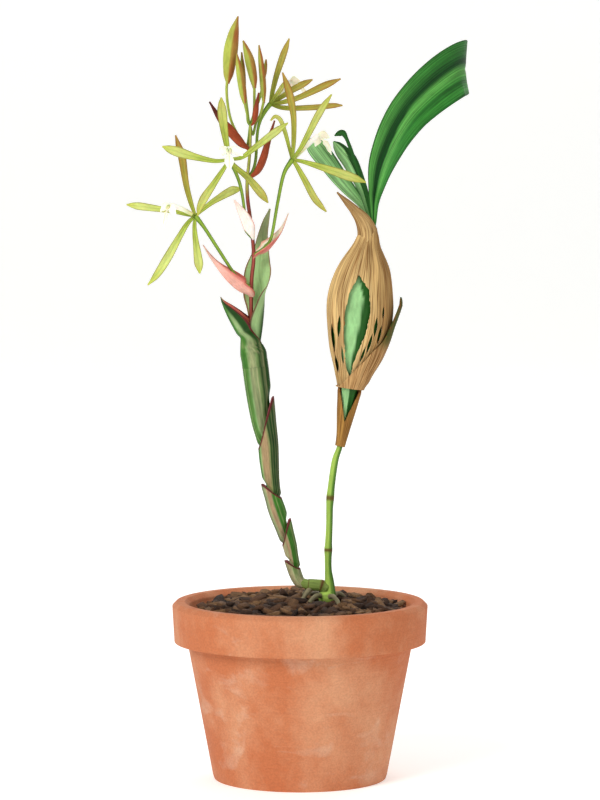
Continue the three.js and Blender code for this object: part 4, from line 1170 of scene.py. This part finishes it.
# Narrow slits in the papery sheath: top and bottom places and the greatest width
SLITS = [
    [(352.5, 411), (351, 440), 4.2], [(342, 422), (346, 460), 4.2], [(347, 464), (351, 488), 3.6],
    [(402, 413), (398, 440), 4.4], [(408, 424), (402, 450), 3.4], [(396, 435), (388, 462), 4],
    [(387, 452), (379, 474), 3.4], [(355.5, 452), (357.5, 476), 3], [(410.5, 400), (409.5, 416), 2.4],
]


def slit_outline(top, bottom, width):
    sides = np.linspace(0, 1, 6)
    middle = np.outer(1 - sides, top) + np.outer(sides, bottom)
    half = width / 2 * np.sin(math.pi * sides) + 0.1
    left = [(column - w, row) for (column, row), w in zip(middle, half)]
    right = [(column + w, row) for (column, row), w in zip(middle, half)]
    return left + right[::-1]


# How near a place of the papery sheath is to the rim of its torn window
def tear_nearness(t, angles):
    middle = flow(CLUB_POINTS, t.ravel()).reshape(*t.shape, 3)
    columns = (middle[..., 0] + club_radius(t) * np.cos(angles)) / PIXEL + POT_AXIS_COLUMN
    rows = PLANT_FOOT_ROW - (middle[..., 2] - PLANT_FOOT_HEIGHT) / PIXEL
    gaps = [np.hypot(columns - column, (rows - row) * 0.6) for column, row in torn(WINDOW, 5, 0, 0)]
    return np.exp(-((np.min(gaps, axis=0) / 7) ** 2)) * (np.sin(angles) < 0)


def make_upper_sheath():
    skin = Skin()

    def mouth(angles):
        ragged = 0.5 * np.sin(11 * angles) + 0.4 * np.sin(23 * angles + 2)
        return UPPER_MOUTH - 5 * near(angles, RIGHT) - 6 * near(angles, 0.5 * math.pi) + ragged

    def radius_at(t, angles):
        folds = 0.16 * np.sin(7 * angles + 3 * t) + 0.12 * np.sin(13 * angles - 5 * t)
        curl = 0.55 * tear_nearness(t, angles)
        swell = np.minimum(1, club_radius(t) / (6 * MM))
        return club_radius(t) + (folds * swell - 0.15 + curl) * MM

    def paint(t, angles):
        # Painted light and shade: paler towards the left front, browner on the right side and towards the
        # foot
        light = between(tone("papery"), tone("papery pale"), 0.8 * near(angles, 1.3 * math.pi))
        foot = ease((club_share(480) - t) / 0.12)
        outside = between(light, tone("papery brown"), 0.4 * near(angles, RIGHT) ** 4 + 0.25 * foot)
        outside = between(outside, tone("papery pale"), 0.7 * tear_nearness(t, angles))
        return outside, between(tone("papery brown"), tone("papery"), 0.35 + 0 * t)

    add_sheath(
        skin, UPPER_FOOT, mouth, radius_at, paint, rows=110, sides=112, flat=CLUB_FLAT, wall=0.42 * MM,
    )
    sheath = skin.piece("upper_sheath", papery("papery sheath", 2.4, 0.3 * MM))
    outlines = [torn(WINDOW, 2.6, 0.9, 11)]
    outlines += [slit_outline(*slit) for slit in SLITS]
    for number, outline in enumerate(outlines):
        cutter = make_cutter(f"tear_{number}", outline)
        add_cut(sheath, cutter)
        apply_modifiers(sheath)
        bpy.data.objects.remove(cutter)
    return sheath


# Long bent point in front of the leaf bases, joined to the papery sheath
def make_sheath_tail():
    skin = Skin()

    def paint(t, v):
        facing = between(tone("papery pale"), tone("papery brown"), 0.55 * t + 0.25 * np.abs(v))
        return facing, between(tone("papery brown"), tone("papery"), 0.4 + 0 * t)

    add_blade(
        skin, SHEATH_TAIL, paint, fold=(-0.8, -0.6, -0.2, 0.1), rows=60, columns=14,
        thickness=0.5 * MM, ruffle=0.4 * MM, waves=3,
    )
    return skin


# Direction of the wrapping sheath's tip, and how far it stands off the club in millimetres
WRAP_TIP = -0.22
WRAP_ROOM = 1.15


def make_wrap_sheath():
    skin = Skin()
    top = club_share(425)

    def mouth(angles):
        turned = np.arctan2(np.sin(angles), np.cos(angles)) - WRAP_TIP
        ragged = 0.4 * np.sin(15 * angles) + 0.3 * np.sin(31 * angles + 1)
        tip = WRAP_TIP_RISE * np.exp(-((turned / 0.23) ** 2))
        return WRAP_MOUTH - WRAP_RISE * near(angles, RIGHT) ** 2 - tip + ragged

    def radius_at(t, angles):
        flare = 2.4 * ease((t - club_share(430)) / 0.1) * near(angles, RIGHT) ** 2
        hug = 0.8 * (1 - ease((t - club_share(WRAP_FOOT)) / 0.05))
        return club_radius(t) + (WRAP_ROOM - hug + flare + 0.08 * np.sin(9 * angles)) * MM

    def paint(t, angles):
        tip = ease((t - club_share(456)) / (top - club_share(445))) * near(angles, WRAP_TIP) ** 3
        # Painted shade: the outside turns browner towards its right side
        outside = between(tone("papery rose"), tone("papery brown"), 0.35 * near(angles, RIGHT) ** 3)
        outside = between(outside, tone("papery green"), tip)
        inside = between(tone("papery brown"), tone("papery"), 0.5 + 0 * t)
        return outside, between(inside, tone("papery green"), tip)

    add_sheath(
        skin, WRAP_FOOT, mouth, radius_at, paint, rows=70, sides=112, flat=CLUB_FLAT + 0.02,
        wall=0.5 * MM,
    )
    piece = skin.piece("wrapping_sheath", papery("wrapping sheath", 2.4, 0.3 * MM))
    return settle(piece, "old_sheath_wrap")


# Leathery leaf: fine lengthwise lines over soft mottling, with a waxy gloss
def leathery(name, lines, gloss):
    material, tree, shader = new_material(
        name, Roughness=0.5, Specular_IOR_Level=gloss, Subsurface_Weight=0.03,
        Subsurface_Scale=MM,
    )
    grain = attribute(tree, "grain", "Vector")
    fine = noise(tree, grain, (lines, lines, 0.02), detail=2.0)
    mottle = noise(tree, grain, (0.5, 0.5, 0.12), detail=4.0)
    pores = noise(tree, grain, (7, 7, 5), detail=2.0)
    colour = attribute(tree, "tint", "Color")
    colour = darkened(tree, colour, spread(tree, fine, 0.34, 0.62, 0.5, 1.3))
    colour = darkened(tree, colour, spread(tree, mottle, 0.3, 0.7, 0.8, 1.18))
    tree.links.new(colour, shader.inputs["Base Color"])
    ribs = bump(tree, fine, 0.14 * MM)
    tree.links.new(bump(tree, pores, 0.04 * MM, normal=ribs), shader.inputs["Normal"])
    return material


def make_large_leaf():
    skin = Skin()

    def paint(t, v):
        # Painted light and shade: one half of the folded blade is painted in shade, while the other half has
        # a painted highlight along the midrib and a painted darker band, and the base has a painted
        # highlight
        edge = -0.18 + 0.31 * ease((t - 0.2) / 0.35)
        bright = between(tone("leaf mid"), tone("leaf light"), np.exp(-(((v - edge + 0.22) / 0.2) ** 2)))
        streak = np.exp(-(((v + 0.48) / 0.1) ** 2)) * ease((t - 0.2) / 0.2)
        bright = between(bright, tone("leaf dark"), 0.55 * streak + 0.35 * ease((-v - 0.75) / 0.2))
        outer = between(tone("leaf mid"), tone("leaf light"), 0.8 * ease((0.62 - t) / 0.3))
        dark = between(tone("leaf deep"), outer, ease((v - 0.22) / 0.6) * (1 - 0.45 * ease((t - 0.5) / 0.3)))
        facing = between(bright, dark, ease((v - edge + 0.02) / 0.05))
        facing = between(facing, tone("leaf deep"), 0.8 * ease((np.abs(v) - 0.94) / 0.04))
        facing = between(facing, tone("leaf light"), 0.5 * ease((0.16 - t) / 0.1) * ease(-v / 0.3))
        reverse = between(tone("leaf mid"), tone("leaf light"), 0.3 + 0.3 * np.abs(v))
        return facing, reverse

    add_blade(
        skin, LARGE_LEAF, paint, facings=LARGE_FACINGS, fold=LARGE_FOLD, rows=130, columns=36,
        thickness=0.65 * MM, groove=0.3 * MM, ruffle=0.2 * MM, waves=2, seed=4,
    )
    piece = skin.piece("large_leaf", leathery("dark leaf", 2.1, 0.15))
    return settle(piece, "old_leaf_large")


def make_middle_leaf():
    skin = Skin()

    def paint(t, v):
        # Painted shade: the blade darkens towards its right side and its base, with dark lines along both
        # margins
        green = 0.55 * ease((-v + 0.1) / 0.8) * ease(1.3 - t)
        facing = between(tone("leaf pale"), tone("leaf mid"), green)
        facing = between(facing, tone("leaf shade"), 0.9 * ease((-v - 0.8) / 0.12))
        facing = between(facing, tone("leaf shade"), 0.6 * ease((v - 0.93) / 0.05))
        facing = between(facing, tone("leaf shade"), 0.7 * ease((0.3 - t) / 0.25) * ease((0.4 - v) / 0.4))
        return facing, between(tone("leaf pale"), tone("leaf mid"), 0.4 + 0 * t)

    add_blade(
        skin, MIDDLE_LEAF, paint, fold=(0.5, 0.2), rows=90, columns=28,
        groove=0.15 * MM, ruffle=0.2 * MM, waves=2, seed=6,
    )
    piece = skin.piece("middle_leaf", leathery("pale leaf", 2.6, 0.12))
    return settle(piece, "old_leaf_middle")


# The side leaf's dark margin runs on past its tip into a hook
SIDE_HOOK = [
    [383, 240, 3.4, 2], [377, 221, 3.1, 4], [371, 203, 3, 5], [367, 191, 3.1, 5], [362, 178.5, 3.6, 5],
    [357.5, 171, 4, 8], [352, 171.5, 4.3, 7.5], [346, 174.5, 4.5, 2],
]


def make_side_leaf():
    skin = Skin()

    def paint(t, v):
        dark = ease((-v + 0.02 - 0.5 * ease((t - 0.6) / 0.2)) / 0.12)
        facing = between(tone("leaf pale"), tone("leaf shade"), dark)
        facing = between(facing, tone("leaf mid"), 0.5 * ease((0.5 - t) / 0.4))
        facing = between(facing, tone("leaf shade"), 0.8 * ease((v - 0.92) / 0.06))
        return facing, between(tone("leaf mid"), tone("leaf shade"), 0.4 + 0 * t)

    def paint_hook(t, v):
        hook = between(tone("leaf shade"), tone("leaf mid"), 0.8 * ease(1 - np.abs(v + 0.1) / 0.5))
        return hook, hook

    add_blade(
        skin, SIDE_LEAF, paint, fold=(0.6, 0.4), rows=90, columns=28,
        groove=0.2 * MM, ruffle=0.2 * MM, waves=3, seed=8,
    )
    add_blade(skin, SIDE_HOOK, paint_hook, fold=(0.1, 0.1), rows=60, columns=10)
    piece = skin.piece("side_leaf", leathery("side leaf", 2.6, 0.12))
    return settle(piece, "old_leaf_side")


SHOOT_POINTS = spots(SHOOT)
SHOOT_WIDTHS = widths_of(SHOOT)
SHOOT_SPANS = len(SHOOT) - 1
# How far a sheath slips under the one below, its wall, flattening and rows of faces
SHEATH_LAP = 1.05
SHEATH_WALL = 0.55 * MM
SHEATH_FLAT = 0.85
SHEATH_ROWS = 90

# Each young sheath, lowest first: tints of its band, left and right, and the band's place and reach. The
# bands and darker right-hand tints mix the sheaths' own colours with painted light and shade; the highest
# sheath's grey band is a painted highlight between sides in painted shade
SHEATH_TINTS = [
    ["young green", "young straw", "young grey", 0.15, 0.4],
    ["young pink", "young straw", "young green", -0.2, 0.25],
    ["young pink", "young grey", "young green", -0.45, 0.3],
    ["young pink", "young green", "young deep", -0.3, 0.45],
    ["young grey", "young green", "young deep", -0.12, 0.36],
]
COVER_TURN = 0.2


# Station at which a sheath opens on each side of the shoot
def mouth_station(index, angles):
    low, high, keel = SHEATHS[index][2:]
    return low + (high - low) * near(angles, keel)


# Station up to which it hides the next sheath, a little wider than its mouth
def cover_station(index, angles):
    keel = SHEATHS[index][4]
    turned = np.arccos(np.cos(angles - keel))
    return mouth_station(index, keel + np.maximum(0, turned - COVER_TURN))


def sheath_paint(index, number, around, mouth):
    band, left, right, place, reach = SHEATH_TINTS[index]
    foot = SHEATHS[index][0]
    front = ease(0.5 - 2 * np.sin(around))
    column = np.cos(around)
    sides = between(tone(left), tone(right), ease((column - place - reach) / 0.12))
    stripe = front * np.exp(-(((column - place) / reach) ** 6)) * ease((number - foot) / 2.5)
    tints = between(sides, tone(band), 0.85 * stripe)
    lines = wander((column + 1) / 2, 26, index) + 0.5 * wander((column + 1) / 2, 60, index + 9)
    tints = between(tints, tone("young straw"), 0.26 * front * lines)
    tints = between(tints, tone("young deep"), -0.24 * front * lines)
    glint = front * np.exp(-(((column - place + reach) / 0.07) ** 2))
    tints = between(tints, tone("young pale"), 0.5 * glint)
    # Painted shade where the sheath turns away at its left and right sides
    tints = between(tints, tone("young deep"), 0.6 * ease((np.abs(column) - 0.93) / 0.06))
    return between(tints, tone("maroon"), 0.95 * ease((number - mouth + 0.17) / 0.08))


def make_young_sheath(index):
    skin = Skin()
    foot, floor, low, high, keel = SHEATHS[index]
    top = index == len(SHEATHS) - 1
    angles = turns(64)

    def radius_at(t, around):
        number = t * SHOOT_SPANS
        below = cover_station(index - 1, around) if index else -1
        covered = 1 - ease((number - below + 0.1) / 0.5)
        flare = 0 if top else 0.5 * ease((number - low) / (high - low)) * near(around, keel)
        ridge = 0.25 * np.exp(-(((1 - near(around, keel)) / 0.02) ** 2)) * (1 - covered) * (not top)
        return smooth(SHOOT_WIDTHS, t) / 2 + (flare + ridge - SHEATH_LAP * covered) * MM

    def rings(start, wall):
        def thinned(t, around):
            return radius_at(t, around) - wall

        foot_share = start / SHOOT_SPANS
        return sheath_rings(SHOOT_POINTS, foot_share, mouth, thinned, angles, SHEATH_ROWS, SHEATH_FLAT)

    mouth = mouth_station(index, angles) / SHOOT_SPANS
    t, outer = rings(foot, 0)
    _, inner = rings(floor, SHEATH_WALL)
    around = angles[None, :] + 0 * t
    rim = SHOOT_SPANS if top else mouth * SHOOT_SPANS
    tints = sheath_paint(index, t * SHOOT_SPANS, around, rim)
    inside = between(tone("young pale"), tone("maroon pale"), ease(1 - (mouth - t) * SHOOT_SPANS / 0.5))
    places = np.concatenate([outer, inner[::-1]])
    broad = float(np.mean(SHOOT_WIDTHS)) / MM / 2
    length = lengths(SHOOT_POINTS, np.linspace(0, 1, 200))[-1] / MM
    grain = np.stack([broad * np.cos(around), broad * np.sin(around), length * t], axis=-1)
    grain = np.concatenate([grain, grain[::-1]])
    skin.add(places, tube_faces(*places.shape[:2]), grain, np.concatenate([tints, inside[::-1]]))
    name = f"young sheath {index + 1}"
    material = tissue(name, 0.5, 3, streaks=0.25, mottle=0.22, relief=0.1 * MM, soft=0.03)
    piece = skin.piece(f"young_sheath_{index + 1}", material)
    return settle(piece, f"new_sheath_{index + 1}")


# The outer leaf grows out of the highest sheath: below its blade it clasps the shoot
CLASP_REACH = 0.6
CLASP_CLIMB = 0.14
CLASP_TURN = 0.8 * math.pi
CLASP_SINK = 0.4 * MM


def clasp_places(t, v):
    share = share_at_row(SHOOT, OUTER_LEAF[0][1]) + CLASP_CLIMB * t
    turn = CLASP_TURN + 0.17 * math.pi * ease(-t / 0.4)
    return share, LEFT + np.outer(turn, v)


def clasp_surface(t, v):
    share, angles = clasp_places(t, v)
    right, far = across(SHOOT_POINTS, share)
    sunk = CLASP_SINK * ease((-0.3 - t) / 0.25)
    radius = smooth(SHOOT_WIDTHS, share) / 2 + 0.2 * MM - sunk
    sideways = (radius[:, None] * np.cos(angles))[..., None] * right[:, None]
    outward = (SHEATH_FLAT * radius[:, None] * np.sin(angles))[..., None] * far[:, None]
    return flow(SHOOT_POINTS, share)[:, None] + sideways + outward


def outer_leaf_paint(t, v):
    # Painted light and shade on the reverse: a pale painted highlight stripe with painted shade on both
    # sides of it
    middle = 0.58 - 0.13 * ease(t / 0.5)
    reverse = between(tone("young green"), tone("young deep"), ease((v - middle - 0.06) / 0.1))
    reverse = between(reverse, tone("young deep"), 0.6 * ease((0.35 - np.abs(v)) / 0.3) * ease(t / 0.2))
    stripe = np.exp(-(((v - middle) / 0.15) ** 4)) * (1 - ease((t - 0.45) / 0.3))
    pale = between(tone("young grey"), tone("young pale"), 0.5 * ease((t + 0.1) / 0.3))
    reverse = between(reverse, pale, 0.85 * stripe)
    margin = ease((np.abs(v) - 0.92) / 0.04)
    facing = between(tone("young pale"), tone("inside pink"), ease((np.abs(v) - 0.35) / 0.4))
    return between(facing, tone("maroon"), margin), between(reverse, tone("maroon"), margin)


def make_outer_leaf():
    skin = Skin()
    t = np.linspace(-CLASP_REACH, 1, 97)
    v = np.sin(np.linspace(-1, 1, 41) * math.pi / 2)
    points, widths = spots(OUTER_LEAF), widths_of(OUTER_LEAF)
    blade = leaf_surface(points, widths, OUTER_FACINGS, OUTER_FOLD, np.maximum(t, 0), v)
    share = ease(t / 0.28)[:, None, None]
    surface = clasp_surface(t, v) * (1 - share) + blade * share
    depth = 0.55 * MM * np.outer(ease((1.04 - t) / 0.15), 1 - 0.7 * np.abs(v) ** 3)
    steps = np.linalg.norm(np.diff(surface[:, 20], axis=0), axis=1)
    grain = np.zeros(surface.shape)
    grain[..., 0] = np.max(widths) / MM / 2 * v
    grain[..., 2] = np.concatenate([[0], np.cumsum(steps)])[:, None] / MM
    facing, reverse = outer_leaf_paint(t[:, None] + 0 * v, 0 * t[:, None] + v)
    stations, around = clasp_places(t, v)
    stations = stations[:, None] * SHOOT_SPANS + 0 * v
    clasp = sheath_paint(len(SHEATHS) - 1, stations, around, 2 * SHOOT_SPANS)
    reverse = between(clasp, reverse, ease((t + 0.12) / 0.25)[:, None] + 0 * v)
    add_sheet(skin, surface, surface_normals(surface), depth, grain, facing, reverse)
    material = tissue("outer young leaf", 0.45, 3, streaks=0.25, mottle=0.2, relief=0.1 * MM, soft=0.03)
    return settle(skin.piece("outer_leaf", material), "new_leaf_outer")


def make_inner_leaf():
    skin = Skin()

    def paint(t, v):
        # Painted shade: the facing side turns greyer towards the tip, inside the upper blade
        facing = between(tone("young pale"), tone("young grey"), 0.9 * ease((t - 0.66) / 0.2))
        facing = between(facing, tone("young green"), 0.3 * np.exp(-((v / 0.05) ** 2)))
        reverse = between(tone("young deep"), tone("young pale"), 0.85 * ease((-v - 0.12) / 0.55))
        reverse = between(reverse, tone("young green"), 0.7 * ease(v / 0.3))
        margin = ease((np.abs(v) - 0.9) / 0.06)
        return between(facing, tone("young brown"), margin), between(reverse, tone("maroon"), 0.85 * margin)

    add_blade(
        skin, INNER_LEAF, paint, facings=INNER_FACINGS, fold=INNER_FOLD, rows=120, columns=30,
        thickness=0.55 * MM,
    )
    material = tissue("inner young leaf", 0.5, 3, streaks=0.14, mottle=0.12, relief=0.1 * MM, soft=0.05)
    return settle(skin.piece("inner_leaf", material), "new_leaf_inner")


# Place on the flower stem at a picture row, with a width
def stem_place(row, width):
    rows = [-place[1] for place in STEM]
    column, depth = (np.interp(-row, rows, [place[k] for place in STEM]) for k in (0, 2))
    return [column, row, depth, width]


# Rows of the picture where bracts and flower stalks leave the stem
STEM_NODE_ROWS = (378, 330, 303, 229, 191, 158)


def make_stem():
    skin = Skin()
    t = np.linspace(0, 1, 201)
    radius = smooth(widths_of(STEM), t) / 2
    nodes = sum(np.exp(-(((t - share_at_row(STEM, row)) / 0.008) ** 2)) for row in STEM_NODE_ROWS)
    green = ease((t - share_at_row(STEM, 262)) / 0.12)
    tints = between(tone("stem red"), tone("stem green"), green)
    tints = between(tints, tone("young brown"), 0.4 * nodes + 0.25 * wander(t, 18, 5))
    sides = np.abs(np.cos(turns(16)))
    shade = between(tone("maroon"), tone("young brown"), green)
    tints = between(tints[:, None], shade[:, None], 0.85 * ease((sides - 0.35) / 0.5))
    dome = np.sqrt(np.maximum(0.02, 1 - np.maximum(0, (t - 0.988) / 0.012) ** 2))
    add_tube(skin, spots(STEM), t, (radius + 0.12 * MM * nodes) * dome, tints)
    material = tissue("flower stem", 0.5, 3.5, streaks=0.22, mottle=0.2, relief=0.08 * MM, soft=0.05)
    return settle(skin.piece("flower_stem_axis", material), "flower_stem")


def make_bract(name):
    skin = Skin()
    shape = BRACTS[name]
    inner, outer, edge, end = shape["tints"]

    def paint(t, v):
        tip = shape["reach"] * ease((t - 0.55) / 0.4)
        margin = ease((np.abs(v) - 0.82) / 0.12)
        glow = shape["glow"] * np.exp(-(((np.abs(v) - 0.45) / 0.3) ** 2)) * (1 - t)
        facing = between(between(tone(inner), tone(edge), 0.8 * margin), tone(end), tip)
        reverse = between(tone(outer), tone("bract blush"), glow)
        reverse = between(between(reverse, tone(edge), 0.8 * margin), tone(end), tip)
        return facing, reverse

    first = shape["points"][0]
    places = [stem_place(first[1] + 5, 0.5 * first[3]), *shape["points"]]
    facings = [shape["facings"][0], *shape["facings"]]
    add_blade(
        skin, places, paint, facings=facings, fold=shape["fold"], rows=60, columns=20,
        thickness=0.4 * MM, ruffle=0.12 * MM, waves=2, seed=len(name),
    )
    material = tissue(f"{name} skin", 0.55, 4, streaks=0.2, mottle=0.14, relief=0.07 * MM, soft=0.15)
    return settle(skin.piece(f"{name}_blade", material), name)


def make_bud(name):
    skin = Skin()
    stem, bud = BUDS[name]["stalk"], BUDS[name]["bud"]
    stem = [stem_place(min(stem[0][1] + 5, STEM[-1][1] + 3), 0), *stem]
    t = np.linspace(0, 1, 61)
    add_tube(
        skin, spots(stem), t, smooth([0.45, 0.5], t) * MM,
        between(tone("pedicel"), tone("bud green"), t), sides=12,
    )
    angles = turns(30)
    seams = 1 - 0.07 * np.abs(np.cos(1.5 * angles + 0.6)) ** 6
    radius = np.outer(smooth(widths_of(bud), t) / 2, seams)
    side = ease((np.cos(angles) + 0.15) / 0.4)[None, :] + 0 * t[:, None]
    brown = 0.9 * side + 0.2 * wander(t, 8, len(stem))[:, None]
    tints = between(tone("bud green"), tone("bud brown"), brown)
    tints = between(tints, tone("bract brown"), 0.4 * ease((t - 0.7) / 0.3)[:, None] + 0 * side)
    add_tube(skin, spots(bud), t, radius, tints, sides=30)
    material = tissue(f"{name} skin", 0.5, 4, streaks=0.2, mottle=0.16, relief=0.07 * MM, soft=0.1)
    return settle(skin.piece(f"{name}_head", material), name)


CLAW_WIDTH = 4.5
HUB_WIDTH = 7


def make_tepals(name):
    skin = Skin()
    shape = FLOWERS[name]
    column, row, depth = shape["hub"]
    first = shape["stalk"][0]
    stem = [stem_place(first[1] + 7, first[3]), *shape["stalk"], [column, row, depth, HUB_WIDTH]]
    t = np.linspace(0, 1, 61)
    lit = between(tone("pedicel"), tone("tepal green"), t)
    shade = ease((np.abs(np.cos(turns(14)) - 0.2) - 0.35) / 0.5)[None, :] + 0 * t[:, None]
    tints = between(lit[:, None], tone("pedicel dark"), 0.85 * shade)
    add_tube(skin, spots(stem), t, smooth(widths_of(stem), t) / 2, tints, sides=14)
    for number, (places, flush) in enumerate(zip(shape["tepals"], shape["flush"])):
        placed = [[c, r, depth + ahead, width] for c, r, ahead, width in places]
        placed = [[column, row, depth, CLAW_WIDTH], *placed]

        def paint(t, v, flush=flush):
            green = 0.7 * (1 - t) + 0.35 * ease(1 - np.abs(v) / 0.3)
            base = between(tone("tepal"), tone("tepal green"), green)
            middle = np.exp(-(((t - 0.62) / 0.2) ** 2))
            pale = between(base, tone("tepal pale"), 0.5 * middle * (1 - flush))
            stain = flush * ease(0.25 + 0.8 * t) * (0.55 + 0.45 * np.abs(v))
            facing = between(pale, tone("flush brown"), stain)
            facing = between(facing, tone("line olive"), 0.7 * ease((np.abs(v) - 0.86) / 0.08))
            facing = between(facing, tone("line olive"), 0.35 * np.exp(-((v / 0.08) ** 2)) * (1 - t))
            return facing, between(base, tone("flush brown"), 0.5 * stain + 0.2)

        add_blade(
            skin, placed, paint, fold=(0.5, 0.3), rows=60, columns=16, thickness=0.5 * MM,
            margin=0.35, groove=0.1 * MM, ruffle=0.18 * MM, waves=2, seed=number,
        )
    name_of_skin = f"{name} tepal skin"
    material = tissue(name_of_skin, 0.5, 3.6, streaks=0.16, mottle=0.16, relief=0.07 * MM, soft=0.12)
    return settle(skin.piece(f"{name}_segments", material), f"{name}_tepals")


# Lip lobes in millimetres from the end of the column: sideways, downwards and forwards
SIDE_LOBE = [[0.2, 0.3, 0], [1.8, 0.9, 0.4], [3.4, 1.8, 0.3], [4.8, 3, -0.2]]
SIDE_LOBE_WIDTHS = [1.6, 3, 3, 0.5]
MIDDLE_LOBE = [[0, 0, 0], [0, 2.4, 0.5], [0, 5, 0.6], [0, 8.6, 0]]
MIDDLE_LOBE_WIDTHS = [1.5, 1.2, 3.4, 0.5]
CALLI = [[[side * 0.45, 0.2, 0.35], [side * 0.55, 1.1, 0.75], [side * 0.4, 2, 0.7]] for side in (-1, 1)]
LIP_KEEL = [[0, 0.6, 0.3], [0, 3, 0.85], [0, 6, 0.75], [0, 7.6, 0.3]]


def make_lip(name):
    skin = Skin()
    shape = FLOWERS[name]
    depth = shape["hub"][2]
    column = spots([[c, r, depth + ahead] for c, r, ahead in shape["column"]])
    forward = unit(np.array(shape["out"], float))
    hang = np.array(shape["down"], float)
    hang = unit(hang - hang @ forward * forward)
    side = np.cross(forward, hang)
    axes = np.stack([side, hang, forward]) * MM

    def local(places):
        return column[-1] + np.array(places, float) @ axes

    def paint(t, v):
        # Painted shade: the lip turns cream towards its base and its sides
        white = between(tone("lip white"), tone("lip cream"), 0.5 * (1 - t) + 0.25 * np.abs(v))
        return white, between(white, tone("lip cream"), 0.4 + 0 * t)

    t = np.linspace(0, 1, 41)
    radius = smooth([0.7, 0.85, 1], t) * (1 - 0.35 * ease((t - 0.9) / 0.1)) * MM
    column_tints = between(tone("column green"), tone("lip white"), ease(t / 0.8))
    add_tube(skin, column, t, radius, column_tints, reference=hang)

    def add_lip_lobe(places, widths, rows, ruffle, seed):
        add_lobe(
            skin, local(places), np.array(widths) * MM, paint, facings=[forward, forward],
            fold=(0.2, 0.2), rows=rows, columns=18, thickness=0.35 * MM, ruffle=ruffle, waves=3, seed=seed,
        )

    for turn in (-1, 1):
        lobe = [[turn * sideways, drop, ahead] for sideways, drop, ahead in SIDE_LOBE]
        add_lip_lobe(lobe, SIDE_LOBE_WIDTHS, 36, 0.35 * MM, turn + 2)
    add_lip_lobe(MIDDLE_LOBE, MIDDLE_LOBE_WIDTHS, 50, 0.25 * MM, 9)
    t = np.linspace(0, 1, 21)
    for ridge in CALLI:
        callus = between(tone("callus green"), tone("lip cream"), t)
        add_tube(skin, local(ridge), t, (0.16 + 0.22 * np.sin(math.pi * t)) * MM, callus, sides=10)
    keel_tints = np.broadcast_to(tone("lip cream"), (len(t), 3))
    add_tube(skin, local(LIP_KEEL), t, (0.08 + 0.14 * np.sin(math.pi * t)) * MM, keel_tints, sides=8)
    material = tissue(f"{name} lip skin", 0.5, 3, streaks=0.04, mottle=0.05, relief=0.06 * MM, soft=0.2)
    return settle(skin.piece(f"{name}_labellum", material), f"{name}_lip")


# Pale floor that curves up behind the plant
FLOOR_HALF = 3.2
FLOOR_FRONT = -3.2
WALL_START = 2.4
WALL_RADIUS = 0.7
WALL_TOP = 2.4
WALL_STEPS = 12
STAGE_GLOW = 0.3


def make_stage():
    profile = [(FLOOR_FRONT, 0), (WALL_START, 0)]
    for step in range(1, WALL_STEPS + 1):
        angle = step / WALL_STEPS * math.pi / 2
        profile.append((WALL_START + WALL_RADIUS * math.sin(angle), WALL_RADIUS * (1 - math.cos(angle))))
    profile.append((WALL_START + WALL_RADIUS, WALL_TOP))
    points = [(x, y, z) for y, z in profile for x in (-FLOOR_HALF, FLOOR_HALF)]
    mesh = bpy.data.meshes.new("backdrop")
    mesh.from_pydata(points, [], grid_faces(len(profile), 2))
    mesh.shade_smooth()
    material, tree, shader = new_material("backdrop paint", Roughness=0.9, Emission_Strength=STAGE_GLOW)
    shader.inputs["Emission Color"].default_value = (*tone("backdrop"), 1)
    shader.inputs["Base Color"].default_value = (*tone("backdrop"), 1)
    mesh.materials.append(material)
    backdrop = add_object("backdrop", mesh)


def aim(item, target):
    direction = np.array(target) - np.array(item.location)
    item.rotation_euler = Vector(direction).to_track_quat("-Z", "Y").to_euler()


# Middle of the plant, where every light points
LIT_PLACE = (0, 0, 0.14)


def make_light(name, place, size, power):
    light = bpy.data.lights.new(name, "AREA")
    light.shape = "DISK"
    light.size = size
    light.energy = power
    item = add_object(name, light)
    item.location = place
    aim(item, LIT_PLACE)


def make_world(strength):
    world = bpy.data.worlds.new("soft room")
    world.use_nodes = True
    background = world.node_tree.nodes["Background"]
    background.inputs["Color"].default_value = (1, 1, 1, 1)
    background.inputs["Strength"].default_value = strength
    bpy.context.scene.world = world


LENS = 150
SENSOR = 36
VIEW_HEIGHT = 0.287
VIEW_RISE = math.radians(4)
VIEW_CENTRE = (0, 0, 0.1365)


def make_camera():
    lens = bpy.data.cameras.new("camera")
    lens.lens = LENS
    lens.sensor_fit = "VERTICAL"
    lens.sensor_height = SENSOR
    lens.clip_end = 20
    camera = add_object("camera", lens)
    distance = VIEW_HEIGHT * LENS / SENSOR
    rise = distance * math.sin(VIEW_RISE)
    camera.location = (0, -distance * math.cos(VIEW_RISE), VIEW_CENTRE[2] + rise)
    aim(camera, VIEW_CENTRE)
    bpy.context.scene.camera = camera


def join_into(whole, part):
    with bpy.context.temp_override(active_object=whole, selected_editable_objects=[whole, part]):
        bpy.ops.object.join()


make_camera()
make_world(0.45)
make_light("key light", (-1.2, -1.5, 1.3), 1.1, 34)
make_light("fill light", (1.5, -1.1, 0.7), 1.8, 6)
make_light("back light", (0.4, 0.9, 1.6), 1.4, 10)
make_stage()
bpy.context.scene.view_settings.view_transform = "Standard"

make_pot()
make_medium()
make_rhizome()
make_cane()
make_lower_sheath()
upper_sheath = make_upper_sheath()
join_into(upper_sheath, make_sheath_tail().piece("sheath_tail", upper_sheath.data.materials[0]))
settle(upper_sheath, "old_sheath_upper")
make_wrap_sheath()
make_large_leaf()
make_middle_leaf()
make_side_leaf()
for index in range(len(SHEATHS)):
    make_young_sheath(index)
make_outer_leaf()
make_inner_leaf()
make_stem()
for name in BRACTS:
    make_bract(name)
for name in BUDS:
    make_bud(name)
for name in FLOWERS:
    make_tepals(name)
    make_lip(name)
